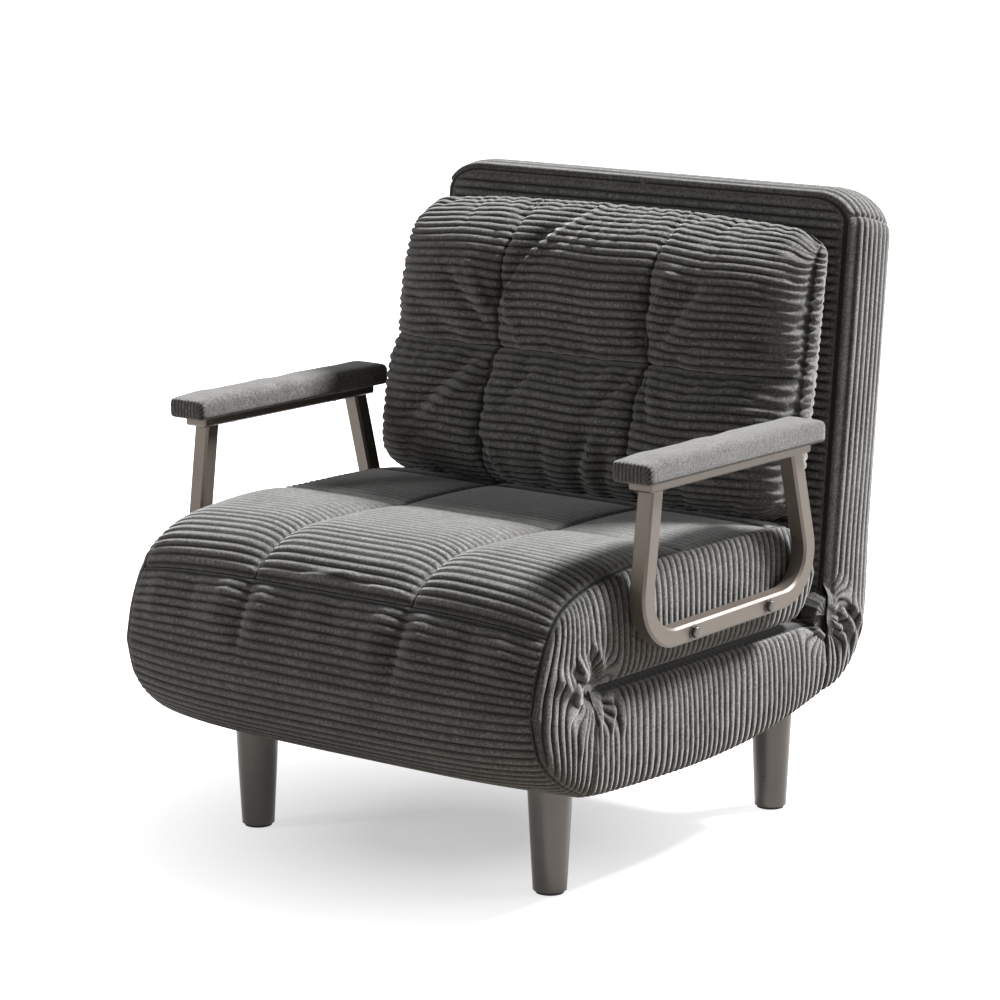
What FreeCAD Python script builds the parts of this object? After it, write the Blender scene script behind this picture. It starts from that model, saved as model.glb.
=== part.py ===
import FreeCAD, Part
import math
import os
import Sketcher
from FreeCAD import Placement, Rotation, Vector

# Folding armchair bed: a mattress in three sections on four tapered legs.
# The upper seat layer swings forward over the front crease and stands on its upturned arms.
# The backrest lies back about the rear crease and stands on a folding head stand.
# +X is the sitter's left, +Y points to the back of the chair and z = 0 is the floor.

DOC = FreeCAD.newDocument("armchair_bed")
SHEET = DOC.addObject("Spreadsheet::Sheet", "Sizes")

# Driving dimensions in millimetres, angles in degrees.
SIZES = {
    # mattress sections
    "seam_width": 656,
    "panel_bulge": 15,
    "middle_column": 258,
    "fold_height": 282,
    "crease_span": 511,
    "fold_gap": 0.3,
    "roll_reach": 121,
    "roll_side_set": 16,
    "underside_drop": 136,
    "front_underside_drop": 133,
    "rear_roll_radius": 104,
    "seat_length": 479,
    "seat_frame_length": 440,
    "seat_thickness": 136,
    "seat_crown": 12,
    "seat_front_drop": 14,
    "side_inset": 26,
    "cross_seam_place": 201,
    "front_seam_reach": 84,
    "front_seam_rise": 90,
    "quilt_wall": 18,
    "cover_wall": 9,
    # backrest
    "back_tilt": 5.6,
    "back_length": 557,
    "back_thickness": 98,
    "back_top_round": 23,
    "back_corner_radius": 56,
    "back_crown": 7,
    # frames
    "tube": 25,
    "tube_wall": 2,
    "frame_side_set": 6,
    "frame_end_set": 9,
    "base_frame_drop": 104,
    "seat_frame_rise": 35,
    "back_frame_depth": 58,
    "back_frame_top": 508,
    "slat_width": 48,
    "slat_thickness": 7,
    "strap_width": 45,
    "strap_thickness": 2.5,
    # fold hinges
    "hinge_plate": 4,
    "hinge_gap": 0.4,
    "hinge_eye": 13,
    "hinge_shank": 22,
    "hinge_foot": 60,
    "hinge_pin_radius": 4,
    "hinge_pin_play": 0.05,
    "hinge_head": 2.5,
    "hinge_head_radius": 7,
    "ratchet_radius": 18,
    "ratchet_tooth": 3,
    "pawl_gap": 0.4,
    "pawl_length": 16,
    "pawl_width": 9,
    "pocket_play": 1,
    # legs
    "leg_side_set": 85.6,
    "leg_front_back": 489,
    "leg_rear_overhang": 22,
    "leg_top_radius": 29,
    "leg_foot_radius": 21.5,
    "glide_height": 4,
    "glide_radius": 18,
    "leg_plate_side": 70,
    "leg_plate": 4,
    "leg_bracket": 5,
    "bracket_reach": 80,
    "leg_stud_radius": 4,
    "leg_stud_depth": 22,
    "post_side": 44,
    # arms
    "arm_tube": 24,
    "arm_tube_wall": 1.8,
    "arm_tube_corner": 3,
    "arm_clearance": 7,
    "arm_bend": 58,
    "arm_bar_lift": 10,
    "arm_bar_rise": 8,
    "arm_front_top": 86,
    "arm_front_low": 61,
    "arm_rear_top": 388.5,
    "arm_rear_low": 438,
    "rail_rise": 236.6,
    "rail_width": 35.4,
    "rail_thickness": 12,
    "rail_front": 63,
    "rail_length": 346.7,
    "rail_corner": 2,
    "rail_clearance": 5.7,
    "pad_front": 43,
    "pad_length": 385,
    "pad_width": 60,
    "pad_height": 30,
    "pad_round": 13,
    "board_inset": 14,
    "board_thickness": 9,
    "pad_screw_radius": 2.5,
    "pad_screw_head_radius": 6,
    "pad_screw_head": 3,
    "pad_screw_place": 70,
    "bolt_radius": 4,
    "bolt_head_radius": 8,
    "bolt_head": 6,
    "bolt_front": 163,
    "bolt_rear": 327,
    "bush_radius": 9,
    # head stand
    "stand_pivot": 452,
    "stand_width": 500,
    "stand_bar": 14,
    "stand_eye_depth": 0.5,
    "stand_bend": 40,
    "stand_set": 14,
    "stand_floor_gap": 1,
    "stand_ear": 3,
    "stand_ear_radius": 13,
    "stand_ear_play": 0.4,
    "stand_base_length": 56,
    "stand_base_margin": 9,
    "stand_pin_radius": 3,
    "stand_foot_wall": 3,
    "stand_foot_length": 60,
    "stand_foot_gap": 0.2,
    # loose back cushion
    "pillow_side_gap": 1,
    "pillow_height": 387,
    "pillow_depth": 70,
    "pillow_rim": 32,
    "pillow_low_set": 86,
    "pillow_high_set": 49,
    "pillow_low_drop": 14.6,
    "pillow_lift": 0.5,
}


def fill_sheet():
    """Writes each driving dimension into the sheet under its own name."""
    for row, (name, value) in enumerate(SIZES.items(), start=1):
        SHEET.set("A%d" % row, name)
        SHEET.set("B%d" % row, str(value))
        SHEET.setAlias("B%d" % row, name)
    DOC.recompute()


class Size:
    """A length or factor that knows its value and the expression that binds it to the sheet."""

    def __init__(self, text, value):
        self.text = text
        self.value = value

    def __float__(self):
        return float(self.value)

    def __add__(self, other):
        return Size("(%s + %s)" % (self.text, text_of(other)), self.value + float(other))

    def __radd__(self, other):
        return Size("(%s + %s)" % (text_of(other), self.text), float(other) + self.value)

    def __sub__(self, other):
        return Size("(%s - %s)" % (self.text, text_of(other)), self.value - float(other))

    def __rsub__(self, other):
        return Size("(%s - %s)" % (text_of(other), self.text), float(other) - self.value)

    def __mul__(self, other):
        return Size("(%s * %s)" % (self.text, text_of(other)), self.value * float(other))

    def __rmul__(self, other):
        return Size("(%s * %s)" % (text_of(other), self.text), float(other) * self.value)

    def __truediv__(self, other):
        return Size("(%s / %s)" % (self.text, text_of(other)), self.value / float(other))

    def __neg__(self):
        return Size("(0 - %s)" % self.text, -self.value)


def text_of(number):
    """The expression text of a size, or of a plain number."""
    if isinstance(number, Size):
        return number.text
    return "%.9g" % number


def sine(angle):
    """Sine of an angle given in degrees."""
    return Size("sin(%s * 1 deg)" % angle.text, math.sin(math.radians(angle.value)))


def cosine(angle):
    """Cosine of an angle given in degrees."""
    return Size("cos(%s * 1 deg)" % angle.text, math.cos(math.radians(angle.value)))


class Sheet:
    """Reads the sheet's cells as sizes, one attribute for each name."""

    def __getattr__(self, name):
        return Size("Sizes.%s" % name, float(SHEET.get(name)))


fill_sheet()
S = Sheet()
ZERO = Size("0", 0.0)

# Places worked out from the driving dimensions.
TILT_SINE = sine(S.back_tilt)
TILT_COSINE = cosine(S.back_tilt)
HALF_SEAM = S.seam_width / 2
HALF_BODY = HALF_SEAM + S.panel_bulge
HALF_COLUMN = S.middle_column / 2
STAND_DEPTH = S.back_thickness + S.stand_set
REAR_REACH = (S.stand_pivot * TILT_SINE + STAND_DEPTH * TILT_COSINE + S.stand_ear_radius)
DEPTH = S.roll_reach + S.crease_span + REAR_REACH
FRONT_CREASE = S.roll_reach - DEPTH / 2
REAR_CREASE = FRONT_CREASE + S.crease_span
SEAT_BOTTOM = S.fold_height + S.fold_gap
SEAT_TOP = S.fold_height + S.seat_thickness
BASE_TOP = S.fold_height - S.fold_gap
FRONT_UNDERSIDE = S.fold_height - S.front_underside_drop
MIDDLE_UNDERSIDE = S.fold_height - S.underside_drop
REAR_UNDERSIDE = S.fold_height - S.rear_roll_radius
FRONT_SEAM_HEIGHT = S.fold_height + S.front_seam_rise
LEG_PLACE = HALF_SEAM - S.leg_side_set
REAR_LEG = REAR_CREASE + S.leg_rear_overhang
FRONT_LEG = REAR_LEG - S.leg_front_back
FRAME_SIDE = HALF_SEAM - S.frame_side_set
CAVITY = FRAME_SIDE + S.hinge_gap
PLATE_IN = FRAME_SIDE
PLATE_MID = PLATE_IN + S.hinge_plate
OUTER_IN = PLATE_MID + S.hinge_gap
PLATE_OUT = OUTER_IN + S.hinge_plate
POCKET_OUT = PLATE_OUT + S.hinge_head + S.pocket_play
BASE_FRAME_LOW = S.fold_height - S.base_frame_drop
BASE_FRAME_TOP = BASE_FRAME_LOW + S.tube
SEAT_FRAME_LOW = S.fold_height + S.seat_frame_rise
SEAT_FRAME_TOP = SEAT_FRAME_LOW + S.tube
RAIL_LOW = S.fold_height + S.rail_rise
RAIL_TOP = RAIL_LOW + S.rail_thickness
PAD_TOP = RAIL_TOP + S.pad_height
ARM_INNER = HALF_BODY + S.arm_clearance
ARM_OUTER = ARM_INNER + S.arm_tube
ARM_MIDDLE = ARM_INNER + S.arm_tube / 2
ARM_BAR_HEIGHT = SEAT_FRAME_LOW + S.arm_bar_lift
RAIL_MIDDLE = ARM_INNER - S.rail_clearance + S.rail_width / 2
PILLOW_SIDE = RAIL_MIDDLE - S.pad_width / 2 - S.pillow_side_gap


def bind(thing, prop, size):
    """Ties a property to the sheet."""
    thing.setExpression(prop, size.text if isinstance(size, Size) else text_of(size))


def place(thing, x, y, z):
    """Ties the place of an object to the sheet."""
    for name, value in (("x", x), ("y", y), ("z", z)):
        bind(thing, "Placement.Base.%s" % name, value)


def named(kind, name):
    """A new object whose label is its name."""
    thing = DOC.addObject(kind, name)
    thing.Label = name
    return thing


def block(name, low, high):
    """A box between two corners."""
    box = named("Part::Box", name)
    bind(box, "Length", high[0] - low[0])
    bind(box, "Width", high[1] - low[1])
    bind(box, "Height", high[2] - low[2])
    place(box, *low)
    return box


TURNS = {
    "x": Rotation(Vector(0, 1, 0), 90),
    "y": Rotation(Vector(1, 0, 0), -90),
    "z": Rotation(),
}


def rod(name, start, way, length, radius):
    """A cylinder from a start point along x, y or z."""
    cylinder = named("Part::Cylinder", name)
    bind(cylinder, "Radius", radius)
    bind(cylinder, "Height", length)
    cylinder.Placement = Placement(Vector(), TURNS[way])
    place(cylinder, *start)
    return cylinder


def fuse(name, shapes):
    """One solid from several that touch or cross."""
    joined = named("Part::MultiFuse", name)
    joined.Shapes = shapes
    joined.Refine = True
    return joined


def cut(name, base, tools):
    """The base with every tool taken out of it."""
    tool = tools[0] if len(tools) == 1 else group(name + "_tools", tools)
    left = named("Part::Cut", name)
    left.Base = base
    left.Tool = tool
    return left


def group(name, parts):
    """Separate solids kept together as one piece."""
    together = named("Part::Compound", name)
    together.Links = parts
    return together


def mirror(name, source):
    """The same piece on the other side of the chair."""
    other = named("Part::Mirroring", name)
    other.Source = source
    other.Normal = Vector(1, 0, 0)
    return other


def feature(name, shape):
    """A piece whose form is lofted, swept or extruded from the sizes."""
    thing = named("Part::Feature", name)
    thing.Shape = shape
    return thing


def both_sides(low, high):
    """The same corner pair on the left and on the right."""
    return ((low, high), ((-high[0], low[1], low[2]), (-low[0], high[1], high[2])))


# Outlines and lofts


def side_point(x):
    """A function that puts (y, z) in the upright plane at x."""
    return lambda y, z: Vector(float(x), float(y), float(z))


def back_point(x):
    """A function that puts (up, depth) of the leaning backrest in the plane at x."""

    def at(up, depth):
        y = REAR_CREASE + up * TILT_SINE + depth * TILT_COSINE
        z = S.fold_height + up * TILT_COSINE - depth * TILT_SINE
        return Vector(float(x), float(y), float(z))

    return at


def outline(at, start, steps):
    """A closed wire from a start point: each step is (end,) for a line or (through, end) for an arc."""
    edges = []
    here = at(*start)
    for step in steps:
        end = at(*step[-1])
        if len(step) == 1:
            edges.append(Part.LineSegment(here, end).toShape())
        else:
            edges.append(Part.Arc(here, at(*step[0]), end).toShape())
        here = end
    return Part.Wire(edges)


def loft(wires):
    """A solid whose sides run straight from each wire to the next."""
    return Part.makeLoft(wires, True, True)


HALF_SHARE = 0.5
EDGE_CROWN_SHARE = 0.25
COLUMN_STATIONS = 4
BAND_STATIONS = 4
PANEL_STATIONS = 3


def crown_at(share, outer):
    """Height of the padding across a column: none at a sewn seam, some at the outer edge."""
    bow = 1 - (2 * share - 1) ** 2
    if outer and share > HALF_SHARE:
        return EDGE_CROWN_SHARE + (1 - EDGE_CROWN_SHARE) * bow
    return bow


def band_crown_at(share):
    """Height of the padding across a whole band without sewn columns."""
    return EDGE_CROWN_SHARE + (1 - EDGE_CROWN_SHARE) * (1 - (2 * share - 1) ** 4)


def across(draw, low, high, count, crown):
    """A padded stretch between two places across the chair."""
    span = high - low
    shares = [number / count for number in range(count + 1)]
    return loft([draw(low + share * span, crown(share), 0) for share in shares])


def side_panel(draw):
    """The side panel of a section, which bulges out past its piped seams and is drawn in at its rim."""
    wires = []
    for number in range(PANEL_STATIONS + 1):
        turn = math.pi / 2 * number / PANEL_STATIONS
        x = float(HALF_SEAM) + float(S.panel_bulge) * math.sin(turn)
        wires.append(draw(x, EDGE_CROWN_SHARE, 1 - math.cos(turn)))
    return loft(wires)


def other_side(shape):
    """The same shape on the other side of the chair."""
    return shape.mirror(Vector(), Vector(1, 0, 0))


def quilted_solid(draw):
    """Three crowned columns with sewn seams between them and a side panel at each end."""
    inner = float(HALF_COLUMN)
    outer = float(HALF_SEAM)
    middle = across(draw, -inner, inner, COLUMN_STATIONS, lambda share: crown_at(share, False))
    side = across(draw, inner, outer, COLUMN_STATIONS, lambda share: crown_at(share, True))
    panel = side_panel(draw)
    return middle.fuse([side, panel, other_side(side), other_side(panel)])


def band_solid(draw):
    """One band across the chair with a side panel at each end."""
    outer = float(HALF_SEAM)
    middle = across(draw, -outer, outer, BAND_STATIONS, band_crown_at)
    panel = side_panel(draw)
    return middle.fuse([panel, other_side(panel)])


def seat_draw(x, crown, inset):
    """Outline of the upper layer: flat under, crowned between its cross seams, round at the back."""
    rise = S.seat_crown * (crown + SEAM_CROWN_SHARE)
    inward = S.side_inset * inset
    front = FRONT_CREASE + S.fold_gap / 2
    under = SEAT_BOTTOM + inward * SEAT_LOW_SHARE
    lip = SEAT_TOP - S.seat_front_drop + rise / 2 - inward
    seam = SEAT_TOP - inward
    length = S.seat_length - inward
    cross = FRONT_CREASE + S.cross_seam_place
    last = FRONT_CREASE + length * SEAT_LAST_SEAM_SHARE
    end = FRONT_CREASE + length
    tuck = (end - last) * HALF_SHARE
    front_rise = SEAT_TOP + rise - S.seat_front_drop * FRONT_BOW_SHARE - inward
    front_bow = (front + S.cross_seam_place * HALF_SHARE, front_rise)
    middle_bow = (cross + (last - cross) * HALF_SHARE, seam + rise * MIDDLE_CROWN_SHARE)
    rear_bow = (last + (end - last) * REAR_BOW_SHARE, seam - S.seat_thickness * REAR_DROP_SHARE)
    rear_low = (end - tuck * REAR_TUCK_SHARE, under + S.seat_thickness * REAR_LIFT_SHARE)
    return outline(side_point(x), (front, under), [
        ((front, lip),),
        (front_bow, (cross, seam)),
        (middle_bow, (last, seam)),
        (rear_bow, (end, S.fold_height + S.seat_thickness * HALF_SHARE)),
        (rear_low, (end - tuck, under)),
        ((front, under),),
    ])


SEAM_CROWN_SHARE = 0.12
SEAT_LOW_SHARE = 0.5
SEAT_LAST_SEAM_SHARE = 0.82
FRONT_BOW_SHARE = 0.36
MIDDLE_CROWN_SHARE = 0.4
REAR_BOW_SHARE = 0.72
REAR_DROP_SHARE = 0.14
REAR_TUCK_SHARE = 0.2
REAR_LIFT_SHARE = 0.17


def fold_draw(x, crown, inset):
    """Outline of the front roll: half round between the two layers."""
    rise = S.seat_crown * (crown + SEAM_CROWN_SHARE)
    inward = S.side_inset * inset
    back = FRONT_CREASE - S.fold_gap / 2
    reach = S.roll_reach - S.roll_side_set * (1 - crown) - inward
    lip = SEAT_TOP - S.seat_front_drop + rise / 2 - inward
    low = FRONT_UNDERSIDE + inward
    seam_reach = S.front_seam_reach - S.roll_side_set * (1 - crown)
    seam = (FRONT_CREASE - seam_reach + inward, FRONT_SEAM_HEIGHT - inward * HALF_SHARE)
    nose = (FRONT_CREASE - reach, S.fold_height - S.roll_reach * NOSE_DROP_SHARE)
    lip_y = FRONT_CREASE - (FRONT_CREASE - seam[0]) * HALF_SHARE
    nose_y = nose[0] + (seam[0] - nose[0]) * NOSE_BOW_SHARE
    chin_y = FRONT_CREASE - reach * CHIN_SHARE
    return outline(side_point(x), (back, low), [
        ((back, lip),),
        ((lip_y, seam[1] + (lip - seam[1]) * LIP_BOW_SHARE), seam),
        ((nose_y, nose[1] + (seam[1] - nose[1]) * HALF_SHARE), nose),
        ((chin_y, nose[1] - (nose[1] - low) * CHIN_DROP_SHARE), (back, low)),
    ])


LIP_BOW_SHARE = 0.68
NOSE_DROP_SHARE = 0.1
NOSE_BOW_SHARE = 0.24
CHIN_SHARE = 0.71
CHIN_DROP_SHARE = 0.71


def base_draw(x, crown, inset):
    """Outline of the lower layer: flat on top, a shallow bow underneath that rises to the rear."""
    inward = S.side_inset * inset
    front = FRONT_CREASE + S.fold_gap / 2
    rear = REAR_CREASE - S.fold_gap / 2
    top = BASE_TOP - inward * SEAT_LOW_SHARE
    middle = front + (rear - front) * HALF_SHARE
    return outline(side_point(x), (front, FRONT_UNDERSIDE + inward), [
        ((front, top),),
        ((rear, top),),
        ((rear, REAR_UNDERSIDE + inward * SEAT_LOW_SHARE),),
        ((middle, MIDDLE_UNDERSIDE + inward), (front, FRONT_UNDERSIDE + inward)),
    ])


def rear_fold_draw(x, crown, inset):
    """Outline of the rear fold: a sector between the lower layer's end and the backrest's lower end."""
    inward = S.side_inset * inset
    at = side_point(x)
    gap = S.fold_gap
    radius = S.rear_roll_radius - inward
    thick = S.back_thickness - inward
    under_gap = S.fold_gap * 2
    corner = (REAR_CREASE + gap, S.fold_height - inward * SEAT_LOW_SHARE - under_gap)
    low = (REAR_CREASE + gap, REAR_UNDERSIDE + inward * SEAT_LOW_SHARE)
    diagonal = radius * math.sqrt(HALF_SHARE)
    rear = (REAR_CREASE + thick * TILT_COSINE, S.fold_height - thick * TILT_SINE - under_gap)
    return outline(at, corner, [
        (low,),
        ((REAR_CREASE + diagonal, S.fold_height - diagonal), rear),
        (corner,),
    ])


def back_draw(x, crown, inset):
    """Outline of the backrest, up its front face and over its rounded top."""
    rise = S.back_crown * (crown + SEAM_CROWN_SHARE)
    inward = S.side_inset * inset
    top = S.back_length - inward
    front = -rise + inward * HALF_SHARE
    rear = S.back_thickness - inward * HALF_SHARE
    shoulder = top - S.back_top_round
    middle = S.back_thickness * HALF_SHARE
    bow = top - S.back_top_round * TOP_BOW_SHARE
    return outline(back_point(x), (S.fold_gap, inward * HALF_SHARE), [
        ((shoulder * HALF_SHARE, front), (shoulder, inward * HALF_SHARE)),
        ((bow, middle * TOP_BOW_SHARE), (top, middle)),
        ((bow, rear - middle * TOP_BOW_SHARE), (shoulder - S.back_top_round, rear)),
        ((S.fold_gap, rear),),
        ((S.fold_gap, inward * HALF_SHARE),),
    ])


TOP_BOW_SHARE = 0.35


# Shapes shared by the pieces


def corner_box(low, high):
    """A plain box shape between two corners."""
    size = [float(high[i]) - float(low[i]) for i in range(3)]
    return Part.makeBox(size[0], size[1], size[2], Vector(*[float(value) for value in low]))


def across_rod(x, y, z, length, radius):
    """A cylinder shape that runs across the chair from x."""
    start = Vector(float(x), float(y), float(z))
    return Part.makeCylinder(float(radius), float(length), start, Vector(1, 0, 0))


def two_sided(shape):
    """A shape and its copy on the other side."""
    return [shape, other_side(shape)]


KEPT = []


def keep(thing):
    """Marks a finished piece for its own file."""
    KEPT.append(thing)
    return thing


# Frames, slats and straps


def grown(low, high, by):
    """A corner pair moved outwards by a wall, or inwards if it is negative."""
    return tuple(value - by for value in low), tuple(value + by for value in high)


THICK_AXIS = 2


def ring_of(make, name, low, high, thick_axis):
    """A rectangular ring of hollow square tube, with its corners welded."""
    wall = S.tube_wall
    inner_low = [value + S.tube for value in low]
    inner_high = [value - S.tube for value in high]
    inner_low[thick_axis] = low[thick_axis] - S.tube
    inner_high[thick_axis] = high[thick_axis] + S.tube
    core_low, core_high = grown(low, high, -wall)
    window_low, window_high = grown(inner_low, inner_high, wall)
    core_outer = make(name + "_core_outer", core_low, core_high)
    core = cut(name + "_core", core_outer, [make(name + "_core_window", window_low, window_high)])
    outer = make(name + "_outer", low, high)
    return cut(name + "_ring", outer, [make(name + "_window", inner_low, inner_high), core])


def hollow_bar(make, name, low, high):
    """A straight hollow tube across a frame, closed by the tubes that it is welded to."""
    core_low, core_high = grown(low, high, -S.tube_wall)
    core_low = (low[0],) + tuple(core_low[1:])
    core_high = (high[0],) + tuple(core_high[1:])
    return cut(name, make(name + "_outer", low, high), [make(name + "_core", core_low, core_high)])


def tube_ring(name, low, high):
    """A frame of tube lying flat."""
    return ring_of(block, name, low, high, THICK_AXIS)


def cross_tube(name, y, bottom):
    """A tube across a frame with its middle at y."""
    inside = FRAME_SIDE - S.tube
    half = S.tube / 2
    return hollow_bar(block, name, (-inside, y - half, bottom), (inside, y + half, bottom + S.tube))


def base_frame():
    """Steel frame of the lower layer with the posts that carry the front legs."""
    front = FRONT_CREASE + S.frame_end_set
    rear = REAR_CREASE - S.frame_end_set
    bottom = BASE_FRAME_LOW
    low = (-FRAME_SIDE, front, bottom)
    ring = tube_ring("base_tubes", low, (FRAME_SIDE, rear, bottom + S.tube))
    parts = [ring, cross_tube("base_cross_tube", FRONT_LEG, bottom)]
    half = S.post_side / 2
    for side, x in (("left", LEG_PLACE), ("right", -LEG_PLACE)):
        post_low = (x - half, FRONT_LEG - half, FRONT_UNDERSIDE)
        parts.append(block("front_post_" + side, post_low, (x + half, FRONT_LEG + half, bottom)))
    return keep(fuse("base_frame", parts))


def seat_frame():
    """Steel frame inside the upper layer, level with the arm bolts."""
    front = FRONT_CREASE + S.frame_end_set
    rear = FRONT_CREASE + S.seat_frame_length
    bottom = SEAT_FRAME_LOW
    low = (-FRAME_SIDE, front, bottom)
    ring = tube_ring("seat_tubes", low, (FRAME_SIDE, rear, bottom + S.tube))
    middle = front + (rear - front) * HALF_SHARE
    solid = fuse("seat_tubes_joined", [ring, cross_tube("seat_cross_tube", middle, bottom)])
    holes = bolt_holes("seat_frame", FRAME_SIDE - S.tube - S.tube_wall)
    return keep(cut("seat_frame", solid, holes))


def layer_slats(name, front, rear, bottom):
    """Slats across a frame, evenly spaced, lying on its side tubes."""
    slats = []
    inside = FRAME_SIDE - S.tube / 2
    pitch = (rear - front - S.slat_width) / (SLAT_COUNT - 1)
    for number in range(SLAT_COUNT):
        y = front + pitch * number
        low = (-inside, y, bottom)
        high = (inside, y + S.slat_width, bottom + S.slat_thickness)
        slats.append(block("%s_%d" % (name, number + 1), low, high))
    return keep(group(name, slats))


SLAT_COUNT = 6
STRAP_COUNT = 5


def back_block(name, low, high):
    """A box given by width, height up the backrest and depth into it, leaning with the backrest."""
    box = named("Part::Box", name)
    bind(box, "Length", high[0] - low[0])
    bind(box, "Width", high[2] - low[2])
    bind(box, "Height", high[1] - low[1])
    box.Placement = Placement(Vector(), Rotation(Vector(1, 0, 0), -float(S.back_tilt)))
    bind(box, "Placement.Rotation.Angle", Size("Sizes.back_tilt", float(S.back_tilt)))
    bind(box, "Placement.Rotation.Axis.x", -1)
    y = REAR_CREASE + low[1] * TILT_SINE + low[2] * TILT_COSINE
    z = S.fold_height + low[1] * TILT_COSINE - low[2] * TILT_SINE
    place(box, low[0], y, z)
    return box


def back_frame():
    """Steel frame inside the backrest, near its rear face."""
    low = (-FRAME_SIDE, S.frame_end_set, S.back_frame_depth)
    high = (FRAME_SIDE, S.back_frame_top, S.back_frame_depth + S.tube)
    ring = ring_of(back_block, "back_tubes", low, high, THICK_AXIS)
    inside = FRAME_SIDE - S.tube
    half = S.tube / 2
    middle_low = (-inside, S.stand_pivot - half, S.back_frame_depth)
    middle_high = (inside, S.stand_pivot + half, S.back_frame_depth + S.tube)
    stand_tube = hollow_bar(back_block, "back_stand_tube", middle_low, middle_high)
    return keep(fuse("back_frame", [ring, stand_tube]))


def back_straps():
    """Elastic straps across the front of the back frame."""
    straps = []
    inside = FRAME_SIDE - S.tube / 2
    first = S.frame_end_set + S.tube
    pitch = (S.back_frame_top - S.tube - first - S.strap_width) / (STRAP_COUNT - 1)
    for number in range(STRAP_COUNT):
        up = first + pitch * number
        low = (-inside, up, S.back_frame_depth - S.strap_thickness)
        high = (inside, up + S.strap_width, S.back_frame_depth)
        straps.append(back_block("back_strap_%d" % (number + 1), low, high))
    return keep(group("back_straps", straps))


# Legs


def closed_sketch(sketch, points):
    """Lines through the points, with each corner tied to the sheet."""
    count = len(points)
    for number in range(count):
        here = Vector(float(points[number][0]), float(points[number][1]), 0)
        after = points[(number + 1) % count]
        there = Vector(float(after[0]), float(after[1]), 0)
        sketch.addGeometry(Part.LineSegment(here, there), False)
    for number in range(count):
        sketch.addConstraint(Sketcher.Constraint("Coincident", number, 2, (number + 1) % count, 1))
    for number, point in enumerate(points):
        for kind, value in (("DistanceX", point[0]), ("DistanceY", point[1])):
            index = sketch.addConstraint(Sketcher.Constraint(kind, -1, 1, number, 1, float(value)))
            sketch.setExpression("Constraints[%d]" % index, value.text)


def body_with_sketch(name, role, points):
    """A body with one closed sketch on the named origin plane."""
    body = DOC.addObject("PartDesign::Body", name)
    body.Label = name
    sketch = body.newObject("Sketcher::SketchObject", name + "_outline")
    plane = [item for item in body.Origin.OriginFeatures if item.Role == role][0]
    sketch.AttachmentSupport = [(plane, "")]
    sketch.MapMode = "FlatFace"
    closed_sketch(sketch, points)
    return body, sketch


def leg(name, x, y, top):
    """A turned, tapered metal leg."""
    points = (
        (ZERO, S.glide_height),
        (S.leg_foot_radius, S.glide_height),
        (S.leg_top_radius, top),
        (ZERO, top),
    )
    body, sketch = body_with_sketch(name, "XZ_Plane", points)
    turned = body.newObject("PartDesign::Revolution", name + "_turned")
    turned.Profile = sketch
    turned.ReferenceAxis = (sketch, ["V_Axis"])
    turned.Angle = 360
    DOC.recompute()
    socket = body.newObject("PartDesign::Pocket", name + "_socket")
    hole = body.newObject("Sketcher::SketchObject", name + "_socket_circle")
    plane = [item for item in body.Origin.OriginFeatures if item.Role == "XY_Plane"][0]
    hole.AttachmentSupport = [(plane, "")]
    hole.MapMode = "FlatFace"
    bind(hole, "AttachmentOffset.Base.z", top)
    hole.addGeometry(Part.Circle(Vector(), Vector(0, 0, 1), float(S.leg_stud_radius)), False)
    hole.addConstraint(Sketcher.Constraint("Coincident", 0, 3, -1, 1))
    index = hole.addConstraint(Sketcher.Constraint("Radius", 0, float(S.leg_stud_radius)))
    hole.setExpression("Constraints[%d]" % index, S.leg_stud_radius.text)
    socket.Profile = hole
    bind(socket, "Length", S.leg_stud_depth)
    body.Tip = socket
    place(body, x, y, ZERO)
    return keep(body)


LEG_PLACES = (
    ("front_left", 1, FRONT_LEG, FRONT_UNDERSIDE - S.leg_plate),
    ("front_right", -1, FRONT_LEG, FRONT_UNDERSIDE - S.leg_plate),
    ("rear_left", 1, REAR_LEG, BASE_FRAME_LOW - S.leg_bracket),
    ("rear_right", -1, REAR_LEG, BASE_FRAME_LOW - S.leg_bracket),
)


def legs():
    """Four legs with their glides, studs, plates and brackets."""
    glides, studs, plates, brackets = [], [], [], []
    half = S.leg_plate_side / 2
    for name, side, y, top in LEG_PLACES:
        x = LEG_PLACE * side
        leg("leg_" + name, x, y, top)
        glides.append(rod("glide_" + name, (x, y, ZERO), "z", S.glide_height, S.glide_radius))
        stud_length = S.leg_stud_depth
        studs.append(rod("stud_" + name, (x, y, top - stud_length), "z", stud_length, S.leg_stud_radius))
        if name.startswith("front"):
            high = (x + half, y + half, top + S.leg_plate)
            plates.append(block("plate_" + name, (x - half, y - half, top), high))
        else:
            inner = REAR_CREASE - S.bracket_reach
            high = (x + half, y + half, top + S.leg_bracket)
            brackets.append(block("bracket_" + name, (x - half, inner, top), high))
    keep(group("leg_glides", glides))
    keep(group("leg_studs", studs))
    keep(group("front_leg_plates", plates))
    keep(group("rear_leg_brackets", brackets))


# Fold hinges


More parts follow.
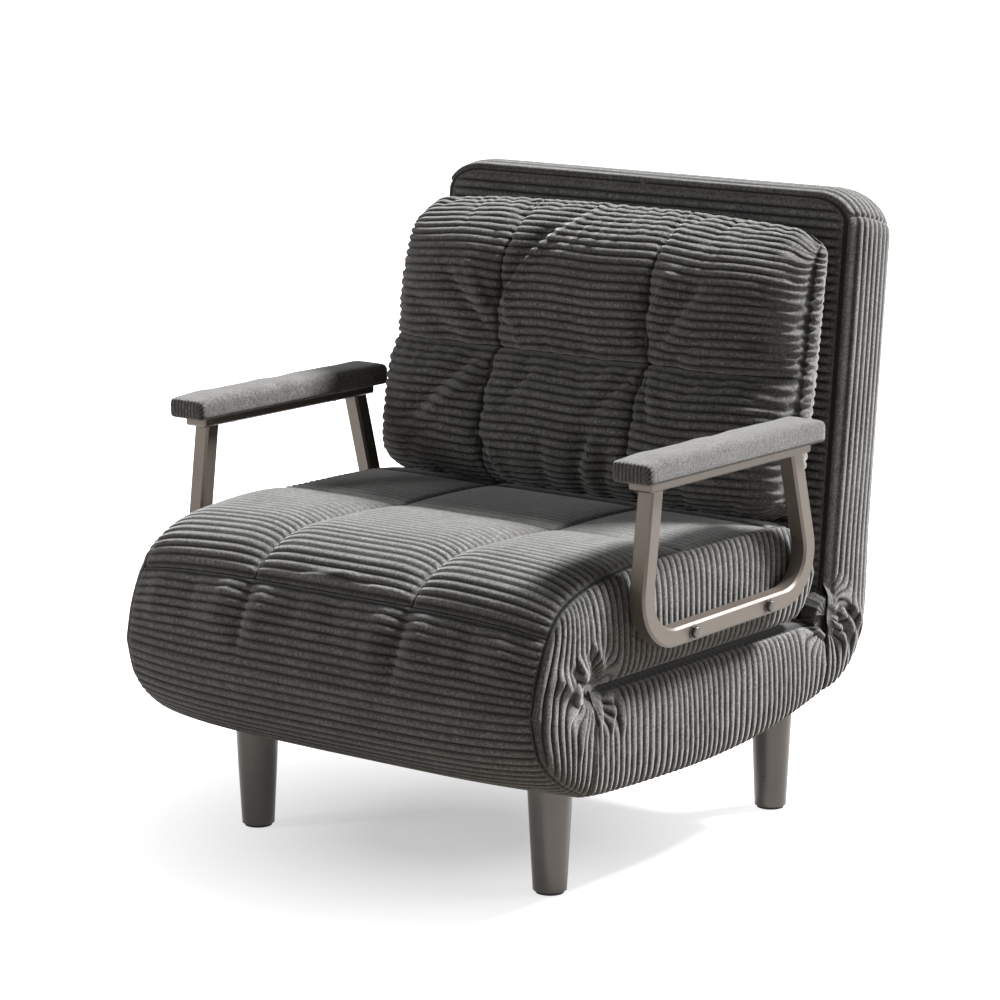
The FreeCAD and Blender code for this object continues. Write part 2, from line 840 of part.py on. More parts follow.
def hinge_plate(name, inner, outer, y_crease, toward, foot_low):
    """A hinge plate: an eye on the fold line, a shank and a foot on the frame's side tube."""
    thick = outer - inner
    foot_high = foot_low + S.tube
    eye = rod(name + "_eye", (inner, y_crease, S.fold_height), "x", thick, S.hinge_eye)
    near = y_crease + S.fold_gap * toward
    far = y_crease + (S.hinge_shank + S.fold_gap) * toward
    front, back = (near, far) if toward > 0 else (far, near)
    above = float(foot_low) > float(S.fold_height)
    shank_low = S.fold_height + S.fold_gap if above else foot_low
    shank_high = foot_low if above else S.fold_height - S.fold_gap
    shank = block(name + "_shank", (inner, front, shank_low), (outer, back, shank_high))
    end = y_crease + S.hinge_foot * toward
    start = y_crease + S.frame_end_set * toward
    foot_front, foot_back = (start, end) if toward > 0 else (end, start)
    foot = block(name + "_foot", (PLATE_IN, foot_front, foot_low), (outer, foot_back, foot_high))
    return [eye, shank, foot]


def bored(name, shapes, y_crease):
    """A hinge plate with its pin hole, and its copy for the other side."""
    solid = fuse(name + "_solid", shapes)
    radius = S.hinge_pin_radius + S.hinge_pin_play
    start = (PLATE_IN - S.hinge_plate, y_crease, S.fold_height)
    hole = rod(name + "_hole", start, "x", PLATE_OUT - PLATE_IN + S.hinge_plate * 2, radius)
    left = keep(cut(name + "_left", solid, [hole]))
    keep(mirror(name + "_right", left))
    return left


def pins(name, y_crease):
    """A headed pin through the two plates at each side of a fold."""
    made = []
    for side, sign in (("left", 1), ("right", -1)):
        tag = "%s_%s" % (name, side)
        start = (PLATE_IN if sign > 0 else -PLATE_OUT, y_crease, S.fold_height)
        shaft = rod(tag + "_shaft", start, "x", PLATE_OUT - PLATE_IN, S.hinge_pin_radius)
        head_x = PLATE_OUT if sign > 0 else -(PLATE_OUT + S.hinge_head)
        head_start = (head_x, y_crease, S.fold_height)
        head = rod(tag + "_head", head_start, "x", S.hinge_head, S.hinge_head_radius)
        made.append(fuse(tag, [shaft, head]))
    return keep(group(name, made))


def ratchet_wheel():
    """A toothed wheel round the rear fold line: saw teeth that let the backrest rise freely."""
    middle = Vector(float(PLATE_IN), float(REAR_CREASE), float(S.fold_height))
    points = []
    pitch = 2 * math.pi / RATCHET_TEETH
    tip = float(S.ratchet_radius)
    root = tip - float(S.ratchet_tooth)
    for number in range(RATCHET_TEETH):
        turn = pitch * number
        for radius, angle in ((root, turn), (tip, turn + pitch * TOOTH_LEAN_SHARE)):
            points.append(middle + Vector(0, radius * math.cos(angle), radius * math.sin(angle)))
    wire = Part.makePolygon(points + [points[0]])
    return Part.Face(wire).extrude(Vector(float(S.hinge_plate), 0, 0))


RATCHET_TEETH = 24
TOOTH_LEAN_SHARE = 0.85


def hinges():
    """The plates and pins of both folds."""
    base = hinge_plate("front_base", PLATE_IN, PLATE_MID, FRONT_CREASE, 1, BASE_FRAME_LOW)
    bored("front_hinge_base", base, FRONT_CREASE)
    seat = hinge_plate("front_seat", OUTER_IN, PLATE_OUT, FRONT_CREASE, 1, SEAT_FRAME_LOW)
    bored("front_hinge_seat", seat, FRONT_CREASE)
    pins("front_hinge_pins", FRONT_CREASE)
    wheel = feature("ratchet_wheel", ratchet_wheel())
    rear = hinge_plate("rear_base", PLATE_IN, PLATE_MID, REAR_CREASE, -1, BASE_FRAME_LOW)
    bored("rear_hinge_base", rear + [wheel], REAR_CREASE)
    pins("rear_hinge_pins", REAR_CREASE)
    back_plate()


def back_plate():
    """The backrest's hinge plate, with the pawl over the ratchet wheel."""
    thick = S.hinge_plate
    eye = rod("back_plate_eye", (OUTER_IN, REAR_CREASE, S.fold_height), "x", thick, S.hinge_eye)
    half = S.hinge_shank / 2
    low = (OUTER_IN, S.fold_gap, S.fold_gap)
    high = (PLATE_OUT, S.hinge_foot, S.back_frame_depth + S.tube)
    shank = back_block("back_plate_shank", low, high)
    foot_low = (PLATE_IN, S.hinge_shank + S.hinge_eye, S.back_frame_depth)
    foot = back_block("back_plate_foot", foot_low, high)
    bored("rear_hinge_back", [eye, shank, foot], REAR_CREASE)
    tip = S.ratchet_radius + S.pawl_gap
    pawl_low = (PLATE_IN, tip, half)
    pawl_high = (OUTER_IN, tip + S.pawl_length, half + S.pawl_width)
    left = keep(back_block("pawl_left", pawl_low, pawl_high))
    keep(mirror("pawl_right", left))


# Arms


def bolt_places():
    """Where each arm's bolts sit along its bottom bar."""
    span = S.arm_rear_low - S.arm_front_low
    for along in (S.bolt_front, S.bolt_rear):
        yield FRONT_CREASE + along, ARM_BAR_HEIGHT + S.arm_bar_rise * (along - S.arm_front_low) / span


def bolt_holes(name, start):
    """Clearance holes for the arm bolts at both sides."""
    holes = []
    length = ARM_INNER + S.arm_tube * 2 - start
    radius = S.bolt_radius + S.hinge_pin_play
    for number, (y, z) in enumerate(bolt_places(), start=1):
        for side, x in (("left", start), ("right", -(start + length))):
            holes.append(rod("%s_bolt_hole_%s_%d" % (name, side, number), (x, y, z), "x", length, radius))
    return holes


def square_wire(middle, first, second, side, radius):
    """A square wire with cut corners across a tube's path."""
    half = side / 2
    flat = half - radius
    edges = []
    for quarter in range(4):
        turn = math.pi / 2 * quarter
        out = first * math.cos(turn) + second * math.sin(turn)
        along = second * math.cos(turn) - first * math.sin(turn)
        start = middle + out * half - along * flat
        end = middle + out * half + along * flat
        centre = middle + out * flat + along * flat
        edges.append(Part.LineSegment(start, end).toShape())
        if radius:
            edges.append(Part.LineSegment(end, centre + along * radius).toShape())
    return Part.Wire(edges)


def bent_path(points, radius):
    """A wire through the points with each inner corner bent to the radius."""
    edges = []
    here = points[0]
    for number in range(1, len(points) - 1):
        corner = points[number]
        back = (points[number - 1] - corner).normalize()
        ahead = (points[number + 1] - corner).normalize()
        half_angle = back.getAngle(ahead) / 2
        run = radius / math.tan(half_angle)
        start = corner + back * run
        end = corner + ahead * run
        middle = corner + (back + ahead).normalize() * (radius / math.sin(half_angle) - radius)
        edges.append(Part.LineSegment(here, start).toShape())
        edges.append(Part.Arc(start, middle, end).toShape())
        here = end
    edges.append(Part.LineSegment(here, points[-1]).toShape())
    return Part.Wire(edges)


def bent_tube(points, radius, across_way, make_profile, wall):
    """A hollow tube along a bent path."""
    path = bent_path(points, radius)
    ahead = (points[1] - points[0]).normalize()
    other = ahead.cross(across_way).normalize()
    outer = path.makePipeShell([make_profile(points[0], across_way, other, 0)], True, False)
    inner = path.makePipeShell([make_profile(points[0], across_way, other, wall)], True, False)
    return outer.cut(inner)


def arm_loop():
    """The bent square tube that carries an arm: two leaning uprights joined by the bolted bottom bar."""
    at = side_point(ARM_MIDDLE)
    over = S.arm_tube / 2
    corners = (
        (S.arm_front_top, RAIL_LOW),
        (S.arm_front_low, ARM_BAR_HEIGHT),
        (S.arm_rear_low, ARM_BAR_HEIGHT + S.arm_bar_rise),
        (S.arm_rear_top, RAIL_LOW),
    )
    points = [at(FRONT_CREASE + along, height) for along, height in corners]
    points[0] = points[0] + (points[0] - points[1]).normalize() * float(over)
    points[-1] = points[-1] + (points[-1] - points[-2]).normalize() * float(over)
    side = float(S.arm_tube)
    corner = float(S.arm_tube_corner)

    def profile(middle, first, second, wall):
        return square_wire(middle, first, second, side - wall * 2, 0 if wall else corner)

    tube = bent_tube(points, float(S.arm_bend), Vector(1, 0, 0), profile, float(S.arm_tube_wall))
    high = (ARM_OUTER + over, REAR_CREASE, PAD_TOP)
    above = corner_box((ARM_INNER - over, FRONT_CREASE, RAIL_LOW), high)
    holes = []
    for y, z in bolt_places():
        holes.append(across_rod(ARM_INNER - over, y, z, S.arm_tube * 2, S.bolt_radius + S.hinge_pin_play))
    return tube.cut([above] + holes)


def soft_bar(name, low, high, trim, property_name, amount):
    """A bar with all its edges rounded or cut."""
    points = ((low[0], low[1]), (high[0], low[1]), (high[0], high[1]), (low[0], high[1]))
    body, sketch = body_with_sketch(name, "XY_Plane", points)
    pad = body.newObject("PartDesign::Pad", name + "_pad")
    pad.Profile = sketch
    bind(pad, "Length", high[2] - low[2])
    DOC.recompute()
    body.Tip = pad
    edges = body.newObject("PartDesign::" + trim, name + "_edges")
    edges.Base = (pad, ["Edge%d" % number for number in range(1, len(pad.Shape.Edges) + 1)])
    bind(edges, property_name, amount)
    body.Tip = edges
    place(body, ZERO, ZERO, low[2])
    return body


def arms():
    """Both arms: loop, rail, board, pad, bolts, bushes and pad screws."""
    loop = keep(feature("arm_loop_left", arm_loop()))
    keep(feature("arm_loop_right", other_side(loop.Shape)))
    rail_front = FRONT_CREASE + S.rail_front
    pad_front = FRONT_CREASE + S.pad_front
    half_rail = S.rail_width / 2
    half_pad = S.pad_width / 2
    inset = S.board_inset
    for side, sign in (("left", 1), ("right", -1)):
        middle = RAIL_MIDDLE * sign
        rail_low = (middle - half_rail, rail_front, RAIL_LOW)
        rail_high = (middle + half_rail, rail_front + S.rail_length, RAIL_TOP)
        rail = soft_bar("rail_bar_" + side, rail_low, rail_high, "Chamfer", "Size", S.rail_corner)
        pad_low = (middle - half_pad, pad_front, RAIL_TOP)
        pad_high = (middle + half_pad, pad_front + S.pad_length, PAD_TOP)
        pad = soft_bar("pad_form_" + side, pad_low, pad_high, "Fillet", "Radius", S.pad_round)
        board_low = (pad_low[0] + inset, pad_low[1] + inset, RAIL_TOP)
        board_high = (pad_high[0] - inset, pad_high[1] - inset, RAIL_TOP + S.board_thickness)
        hollow = block("pad_hollow_" + side, board_low, board_high)
        holes, screws = [], []
        for number, y in enumerate(screw_places(rail_front), start=1):
            tag = "%s_%d" % (side, number)
            start = (middle, y, RAIL_LOW - S.pad_screw_head)
            length = S.pad_screw_head + S.rail_thickness + S.board_thickness
            holes.append(rod("screw_hole_" + tag, start, "z", length, S.pad_screw_radius))
            shaft = rod("screw_shaft_" + tag, start, "z", length, S.pad_screw_radius)
            head = rod("screw_head_" + tag, start, "z", S.pad_screw_head, S.pad_screw_head_radius)
            screws.append(fuse("pad_screw_" + tag, [shaft, head]))
        keep(cut("arm_rail_" + side, rail, holes))
        keep(cut("arm_board_" + side, block("board_blank_" + side, board_low, board_high), holes))
        keep(cut("arm_pad_" + side, pad, [hollow]))
        keep(group("arm_screws_" + side, screws))
    bolts_and_bushes()


def screw_places(rail_front):
    """The pad screws, the same distance in from each end of the rail."""
    return (rail_front + S.pad_screw_place, rail_front + S.rail_length - S.pad_screw_place)


def bolts_and_bushes():
    """The bolts that hold the arms to the seat frame, and the bushes that they pass through."""
    bolts, bushes = [], []
    outer = ARM_OUTER
    inner = FRAME_SIDE - S.tube
    for number, (y, z) in enumerate(bolt_places(), start=1):
        for side, sign in (("left", 1), ("right", -1)):
            tag = "%s_%d" % (side, number)
            start = inner if sign > 0 else -outer
            shaft = rod("bolt_shaft_" + tag, (start, y, z), "x", outer - inner, S.bolt_radius)
            head_start = outer if sign > 0 else -(outer + S.bolt_head)
            head = rod("bolt_head_" + tag, (head_start, y, z), "x", S.bolt_head, S.bolt_head_radius)
            bolts.append(fuse("arm_bolt_" + tag, [shaft, head]))
            bush_start = FRAME_SIDE if sign > 0 else -ARM_INNER
            length = ARM_INNER - FRAME_SIDE
            solid = rod("bush_solid_" + tag, (bush_start, y, z), "x", length, S.bush_radius)
            hole = rod("bush_hole_" + tag, (bush_start, y, z), "x", length, S.bolt_radius + S.hinge_pin_play)
            bushes.append(cut("arm_bush_" + tag, solid, [hole]))
    keep(group("arm_bolts", bolts))
    keep(group("arm_bushes", bushes))


# Head stand


def stand_point(up, depth):
    """A place on the backrest's middle plane, by height up the backrest and depth."""
    return back_point(0)(up, depth)


def round_wire(middle, ahead, radius):
    """A circle across a tube's path."""
    return Part.Wire(Part.makeCircle(radius, middle, ahead))


def head_stand():
    """A U of round bar that hangs behind the backrest and swings out to the floor in bed use."""
    half = float(S.stand_width) / 2
    reach = S.fold_height - STAND_DEPTH - S.stand_floor_gap - S.stand_foot_wall - S.stand_bar / 2
    low = S.stand_pivot - reach
    points = []
    for x, up in ((-half, S.stand_pivot), (-half, low), (half, low), (half, S.stand_pivot)):
        points.append(back_point(x)(up, STAND_DEPTH))
    radius = float(S.stand_bar) / 2
    path = bent_path(points, float(S.stand_bend))
    ahead = (points[1] - points[0]).normalize()
    bar = path.makePipeShell([round_wire(points[0], ahead, radius)], True, False)
    eyes, holes = [], []
    pivot = stand_point(S.stand_pivot, STAND_DEPTH)
    for sign in (1, -1):
        start = sign * half - radius
        eyes.append(across_rod(start, pivot.y, pivot.z, radius * 2, radius - float(S.stand_eye_depth)))
        holes.append(across_rod(start, pivot.y, pivot.z, radius * 2, S.stand_pin_radius + S.hinge_pin_play))
    stand = bar.fuse(eyes).cut(holes)
    keep(feature("head_stand", stand))
    feet = []
    for sign in (1, -1):
        centre = sign * (half - float(S.stand_bend) - float(S.stand_foot_length))
        start = centre - float(S.stand_foot_length) / 2
        middle = stand_point(low, STAND_DEPTH)
        solid = across_rod(start, middle.y, middle.z, S.stand_foot_length, radius + float(S.stand_foot_wall))
        feet.append(solid.cut(across_rod(start, middle.y, middle.z, S.stand_foot_length, radius)))
    keep(feature("head_stand_feet", Part.Compound(feet)))
    stand_brackets(pivot, half, radius)


def stand_brackets(pivot, half, radius):
    """Two-eared brackets on the backrest's rear, and the pins through them."""
    brackets, pins_made = [], []
    ear = float(S.stand_ear)
    play = float(S.stand_ear_play)
    for sign in (1, -1):
        middle = sign * half
        half_plate = radius + float(S.stand_base_margin)
        half_length = S.stand_base_length / 2
        plate_low = (middle - half_plate, S.stand_pivot - half_length, S.back_thickness)
        plate_top = STAND_DEPTH - S.stand_bar / 2 - play
        solid = leaning_box(plate_low, (middle + half_plate, S.stand_pivot + half_length, plate_top))
        for face in (middle - radius - play - ear, middle + radius + play):
            round_ear = across_rod(face, pivot.y, pivot.z, ear, S.stand_ear_radius)
            web_low = (face, S.stand_pivot - S.stand_ear_radius, S.back_thickness)
            web_high = (face + ear, S.stand_pivot + S.stand_ear_radius, STAND_DEPTH)
            solid = solid.fuse([round_ear, leaning_box(web_low, web_high)])
        reach = radius + play + ear
        pin = across_rod(middle - reach, pivot.y, pivot.z, reach * 2, S.stand_pin_radius)
        brackets.append(solid.cut(pin))
        pins_made.append(pin)
    keep(feature("stand_brackets", Part.Compound(brackets)))
    keep(feature("stand_pins", Part.Compound(pins_made)))


def leaning_box(low, high):
    """A box shape that leans with the backrest."""
    at = back_point(low[0])
    corners = (at(low[1], low[2]), at(high[1], low[2]), at(high[1], high[2]), at(low[1], high[2]))
    face = Part.Face(Part.makePolygon(list(corners) + [corners[0]]))
    return face.extrude(Vector(float(high[0]) - float(low[0]), 0, 0))


# Loose cushion


# Front and rear outline of the cushion: share of its height, share of its fullness.
PILLOW_FRONT_SHARES = ((0.02, 0.92), (0.22, 1.2), (0.49, 0.64), (0.78, 1.04), (0.975, 0.28))
PILLOW_REAR_SHARES = ((0.96, 0.2), (0.5, 0.62), (0.04, 0.7))
PILLOW_TIP_SHARE = 0.012
PILLOW_RIM_SHARE = 0.12
PILLOW_SEAM_SHARE = 0.72
PILLOW_OUTER_STATIONS = (0, 0.25, 0.5, 0.8, 0.94, 1)


def pillow_draw(x, crown):
    """Outline of the loose cushion: two puffed rows with a sewn seam between, resting on the backrest."""
    bottom = (S.seat_thickness + S.pillow_lift) / TILT_COSINE - S.pillow_low_drop
    full = S.pillow_depth * crown

    def middle(share):
        return S.pillow_low_set + (S.pillow_high_set - S.pillow_low_set) * share

    def front(pair):
        return bottom + S.pillow_height * pair[0], -(middle(pair[0]) + S.pillow_rim / 2 + full * pair[1])

    def rear(pair):
        return bottom + S.pillow_height * pair[0], full * pair[1] + S.pillow_rim / 2 - middle(pair[0])

    def tip(share):
        return bottom + S.pillow_height * share, -middle(share)

    low, low_bow, seam, high_bow, high = [front(pair) for pair in PILLOW_FRONT_SHARES]
    rear_high, rear_bow, rear_low = [rear(pair) for pair in PILLOW_REAR_SHARES]
    return outline(back_point(x), rear_low, [
        (tip(PILLOW_TIP_SHARE), low),
        (low_bow, seam),
        (high_bow, high),
        (tip(1 - PILLOW_TIP_SHARE / 2), rear_high),
        (rear_bow, rear_low),
    ])


def pillow_crown(share, outer):
    """Fullness across a cushion column: drawn in at its seams, and round at the outer edge."""
    reach = abs(2 * share - 1)
    if outer and share > HALF_SHARE:
        return PILLOW_RIM_SHARE + (1 - PILLOW_RIM_SHARE) * (1 - reach ** 4) ** HALF_SHARE
    return PILLOW_SEAM_SHARE + (1 - PILLOW_SEAM_SHARE) * (1 - reach ** 2)


def pillow_column(low, high, outer):
    """One sewn column of the cushion."""
    shares = [number / COLUMN_STATIONS for number in range(COLUMN_STATIONS + 1)]
    if outer:
        shares = PILLOW_OUTER_STATIONS
    span = high - low
    return loft([pillow_draw(low + span * share, pillow_crown(share, outer)) for share in shares])


def pillow():
    """The loose back cushion, sewn in three columns and two rows."""
    inner = float(HALF_COLUMN)
    middle = pillow_column(-inner, inner, False)
    side = pillow_column(inner, float(PILLOW_SIDE), True)
    return keep(feature("back_pillow", middle.fuse([side, other_side(side)])))


# Covers and foam


def hinge_pockets():
    """Room inside the covers for the plates, pins and ratchets at both folds and both sides."""
    boxes = []
    play = S.pocket_play
    inner = PLATE_IN - play
    eye = S.hinge_eye + play
    foot = S.hinge_foot + play
    low = BASE_FRAME_LOW - play
    front_high = (POCKET_OUT, FRONT_CREASE + foot, SEAT_FRAME_TOP + play)
    front = corner_box((inner, FRONT_CREASE - eye, low), front_high)
    wheel = S.ratchet_radius + S.pawl_gap + play
    rear_high = (POCKET_OUT, REAR_CREASE + wheel, S.fold_height + wheel)
    rear = corner_box((inner, REAR_CREASE - foot, low), rear_high)
    back_high = (POCKET_OUT, foot, S.back_frame_depth + S.tube + play)
    up = leaning_box((inner, -wheel, -wheel), back_high)
    for shape in (front, rear, up):
        boxes.extend(two_sided(shape))
    return boxes


def soft_layers():
    """The covers of the three sections, the folds between them and the foam inside."""
    pockets = hinge_pockets()
    side = CAVITY
    foam = FRAME_SIDE - S.fold_gap
    wall = S.cover_wall
    end = S.frame_end_set - S.fold_gap

    seat_low = (-side, FRONT_CREASE + end, SEAT_BOTTOM + wall)
    seat_high = (side, FRONT_CREASE + S.seat_frame_length + S.fold_gap, SEAT_TOP - S.quilt_wall)
    bush_room = []
    for y, z in bolt_places():
        bush_room.extend(two_sided(across_rod(side - wall, y, z, S.arm_tube * 2, S.bush_radius)))
    whole = quilted_solid(seat_draw)
    keep(feature("seat_cover", whole.cut([corner_box(seat_low, seat_high)] + pockets + bush_room)))
    under_high = (foam, seat_high[1], SEAT_FRAME_LOW)
    keep(feature("seat_foam_under", corner_box((-foam,) + seat_low[1:], under_high)))
    slat_top = SEAT_FRAME_TOP + S.slat_thickness
    keep(feature("seat_foam", corner_box((-foam, seat_low[1], slat_top), (foam,) + seat_high[1:])))

    base_low = (-side, FRONT_CREASE + end, BASE_FRAME_LOW - S.fold_gap)
    base_high = (side, REAR_CREASE - end, BASE_TOP - wall)
    brackets = under_room()
    whole = band_solid(base_draw)
    keep(feature("base_cover", whole.cut([corner_box(base_low, base_high)] + pockets + brackets)))
    base_slats = BASE_FRAME_TOP + S.slat_thickness
    keep(feature("base_foam", corner_box((-foam, base_low[1], base_slats), (foam,) + base_high[1:])))

    keep(feature("front_fold", band_solid(fold_draw).cut(pockets)))
    keep(feature("rear_fold", band_solid(rear_fold_draw).cut(pockets + brackets)))

    back_low = (-side, end, S.cover_wall)
    back_high = (side, S.back_frame_top + S.fold_gap, S.back_frame_depth + S.tube + S.fold_gap)
    whole = band_solid(back_draw).common(corner_template())
    keep(feature("back_cover", whole.cut([leaning_box(back_low, back_high)] + pockets)))
    foam_high = (foam, back_high[1], S.back_frame_depth - S.strap_thickness)
    keep(feature("back_foam", leaning_box((-foam,) + back_low[1:], foam_high)))


def under_room():
    """Room in the underside for the leg posts, plates and brackets."""
    room = []
    play = S.fold_gap
    half = S.leg_plate_side / 2 + play
    x = LEG_PLACE
    post = S.post_side / 2 + play
    post_top = BASE_FRAME_LOW + play
    front_high = (x + half, FRONT_LEG + half, FRONT_UNDERSIDE + play)
    front = corner_box((x - half, FRONT_LEG - half, ZERO), front_high)
    posts_low = (x - post, FRONT_LEG - post, ZERO)
    posts = corner_box(posts_low, (x + post, FRONT_LEG + post, post_top))
    rear_low = (x - half, REAR_CREASE - S.bracket_reach - play, ZERO)
    rear = corner_box(rear_low, (x + half, REAR_LEG + half, post_top))
    for shape in (front, posts, rear):
        room.extend(two_sided(shape))
    return room


def corner_template():
    """A slab through the backrest with its rounded top corners."""
    radius = float(S.back_corner_radius)
    half = float(HALF_BODY) + float(S.fold_gap)
    top = float(S.back_length) + float(S.fold_gap)
    bend = radius * (1 - math.sqrt(HALF_SHARE))
    deep = float(S.back_thickness)

    def at(x, up):
        return back_point(x)(up, -deep)

    wire = outline(at, (-half, -deep), [
        ((-half, top - radius),),
        ((-half + bend, top - bend), (-half + radius, top)),
        ((half - radius, top),),
        ((half - bend, top - bend), (half, top - radius)),
        ((half, -deep),),
        ((-half, -deep),),
    ])
    through = back_point(0)(0, deep * 2) - at(0, 0)
    return Part.Face(wire).extrude(through)


def check_and_write():
    """Stops at any failed object or broken solid, then writes each piece to its own file."""
    DOC.recompute()
    for thing in DOC.Objects:
        if "Invalid" in thing.State or "Error" in thing.State:
            raise RuntimeError("%s failed: %s" % (thing.Label, thing.State))
    for thing in KEPT:
        if thing.Shape.isNull() or not thing.Shape.isValid() or not thing.Shape.Solids:
            raise RuntimeError("%s has no sound solid" % thing.Label)
    os.makedirs("parts", exist_ok=True)
    for thing in KEPT:
        thing.Shape.exportStep(os.path.join("parts", thing.Label + ".step"))
    print("front crease y %.4f, rear crease y %.4f" % (FRONT_CREASE.value, REAR_CREASE.value))
    print("arm bolts %s" % ["%.4f %.4f" % (y.value, z.value) for y, z in bolt_places()])
    pivot = stand_point(S.stand_pivot, STAND_DEPTH)
    print("stand pivot y %.4f z %.4f" % (pivot.y, pivot.z))
    print("front leg y %.4f, rear leg y %.4f" % (FRONT_LEG.value, REAR_LEG.value))


base_frame()
slats_front = FRONT_CREASE + S.frame_end_set + S.tube
layer_slats("base_slats", slats_front, REAR_CREASE - S.frame_end_set - S.tube, BASE_FRAME_TOP)
seat_frame()
layer_slats("seat_slats", slats_front, FRONT_CREASE + S.seat_frame_length - S.tube, SEAT_FRAME_TOP)
back_frame()
back_straps()
legs()
hinges()
arms()
head_stand()
pillow()
soft_layers()
check_and_write()
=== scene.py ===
"""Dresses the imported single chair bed: ribbed upholstery, loose cushion, arm pads, metal, floor and light."""

from __future__ import annotations

import logging
import math
from dataclasses import dataclass
from enum import Enum
from typing import Callable, Sequence

import bmesh
import bpy
import numpy as np
from mathutils import Matrix, Vector

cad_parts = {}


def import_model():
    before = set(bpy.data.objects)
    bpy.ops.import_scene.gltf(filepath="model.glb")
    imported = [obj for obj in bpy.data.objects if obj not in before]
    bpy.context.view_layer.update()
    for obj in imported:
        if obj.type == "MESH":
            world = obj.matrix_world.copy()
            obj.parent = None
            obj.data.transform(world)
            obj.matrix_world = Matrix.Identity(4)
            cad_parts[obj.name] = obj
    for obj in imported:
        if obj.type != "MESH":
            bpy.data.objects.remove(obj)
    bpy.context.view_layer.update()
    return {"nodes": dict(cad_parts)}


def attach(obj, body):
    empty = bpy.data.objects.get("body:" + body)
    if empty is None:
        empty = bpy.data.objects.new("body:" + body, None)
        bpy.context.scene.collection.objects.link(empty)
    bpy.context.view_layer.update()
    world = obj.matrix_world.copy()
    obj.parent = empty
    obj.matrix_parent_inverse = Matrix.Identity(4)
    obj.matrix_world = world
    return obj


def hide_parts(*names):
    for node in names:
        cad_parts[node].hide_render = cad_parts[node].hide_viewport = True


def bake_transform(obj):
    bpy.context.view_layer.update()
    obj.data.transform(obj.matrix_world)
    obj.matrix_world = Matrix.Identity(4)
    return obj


LOG = logging.getLogger("chair_bed")
Grid = np.ndarray
Spot = tuple[float, float]
Place = tuple[float, float, float]
Node = bpy.types.Node
Socket = bpy.types.NodeSocket
Thing = bpy.types.Object

# The sitter's left and right
LEFT, RIGHT = 1.0, -1.0


class Body(str, Enum):
    """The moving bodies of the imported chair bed."""

    BASE = "base"
    SEAT = "seat"
    BACKREST = "backrest"
    STAND = "stand"
    PILLOW = "pillow"


class Slot(str, Enum):
    """Material slots of the record."""

    CORDUROY = "corduroy"
    ARM_CLOTH = "arm_cloth"
    FIXINGS = "dark_fixings"
    ARM_METAL = "arm_metal"


# Mesh helpers


def smooth_step(value: Grid | float) -> Grid:
    """Eased ramp from 0 to 1."""
    held = np.clip(value, 0.0, 1.0)
    return held * held * (3.0 - 2.0 * held)


def stations(low: float, high: float, seams: Sequence[float], wide: float, fine: float) -> Grid:
    """Places across a panel, closer together near its sewn seams.

    Args:
        low: First place.
        high: Last place.
        seams: Places of the seams.
        wide: Spacing away from the seams.
        fine: Spacing at the seams.

    Returns:
        Rising places from low to high.
    """
    places = [low]
    marks = sorted(set([*seams, high]))
    for mark in marks:
        if mark <= places[-1] + 1e-9:
            continue
        start = places[-1]
        count = 240
        fractions = np.linspace(0.0, 1.0, count + 1)
        near = np.minimum(fractions, 1.0 - fractions) * (mark - start)
        density = 1.0 / (fine + (wide - fine) * smooth_step(near / 0.03))
        total = np.concatenate([[0.0], np.cumsum((density[1:] + density[:-1]) / 2 * (mark - start) / count)])
        steps = max(2, int(round(total[-1])))
        inner = np.interp(np.linspace(0.0, total[-1], steps + 1), total, fractions)
        places.extend(list(start + (mark - start) * inner[1:]))
    return np.array(places)


def spline(points: Grid, per_span: int) -> Grid:
    """A smooth line through the points; a point given twice makes a corner.

    Args:
        points: Points, one a row, of any width.
        per_span: Samples for each span between two points.

    Returns:
        The sampled line.
    """
    rows = []
    last = len(points) - 1
    for number in range(last):
        here, there = points[number], points[number + 1]
        if np.allclose(here, there):
            continue
        before = points[number - 1] if number else here
        after = points[number + 2] if number + 2 <= last else there
        ramp = np.linspace(0.0, 1.0, per_span, endpoint=False)[:, None]
        square, cube = ramp ** 2, ramp ** 3
        rows.append(
            0.5
            * (
                2 * here
                + (there - before) * ramp
                + (2 * before - 5 * here + 4 * there - after) * square
                + (3 * here - before - 3 * there + after) * cube
            )
        )
    rows.append(points[-1][None, :])
    return np.concatenate(rows)


def spaced(line: Grid, count: int) -> Grid:
    """The line sampled again at even steps along its length."""
    steps = np.linalg.norm(np.diff(line[:, :2], axis=0), axis=1)
    run = np.concatenate([[0.0], np.cumsum(steps)])
    wanted = np.linspace(0.0, run[-1], count)
    return np.stack([np.interp(wanted, run, line[:, column]) for column in range(line.shape[1])], axis=1)


def run_length(points: Grid) -> Grid:
    """Distance along a line at each of its points."""
    return np.concatenate([[0.0], np.cumsum(np.linalg.norm(np.diff(points, axis=0), axis=1))])


@dataclass(frozen=True)
class Fold:
    """A fold in the cloth, drawn as a stroke on the panel: two ends, width and height in metres."""

    start: Spot
    end: Spot
    width: float
    height: float

    def relief(self, first: Grid, second: Grid) -> Grid:
        """Height of the fold.

        Args:
            first: First panel coordinate.
            second: Second panel coordinate.

        Returns:
            Height at each place: a soft ridge with a slight hollow beside it.
        """
        along = np.array(self.end) - np.array(self.start)
        length = float(np.linalg.norm(along))
        along = along / length
        rise = first - self.start[0]
        side = second - self.start[1]
        place = (rise * along[0] + side * along[1]) / length
        off = (side * along[0] - rise * along[1]) / self.width
        taper = smooth_step((place + 0.12) / 0.3) * smooth_step((1.12 - place) / 0.45)
        return self.height * taper * np.exp(-off * off) * (1.0 - 0.55 * np.abs(off))


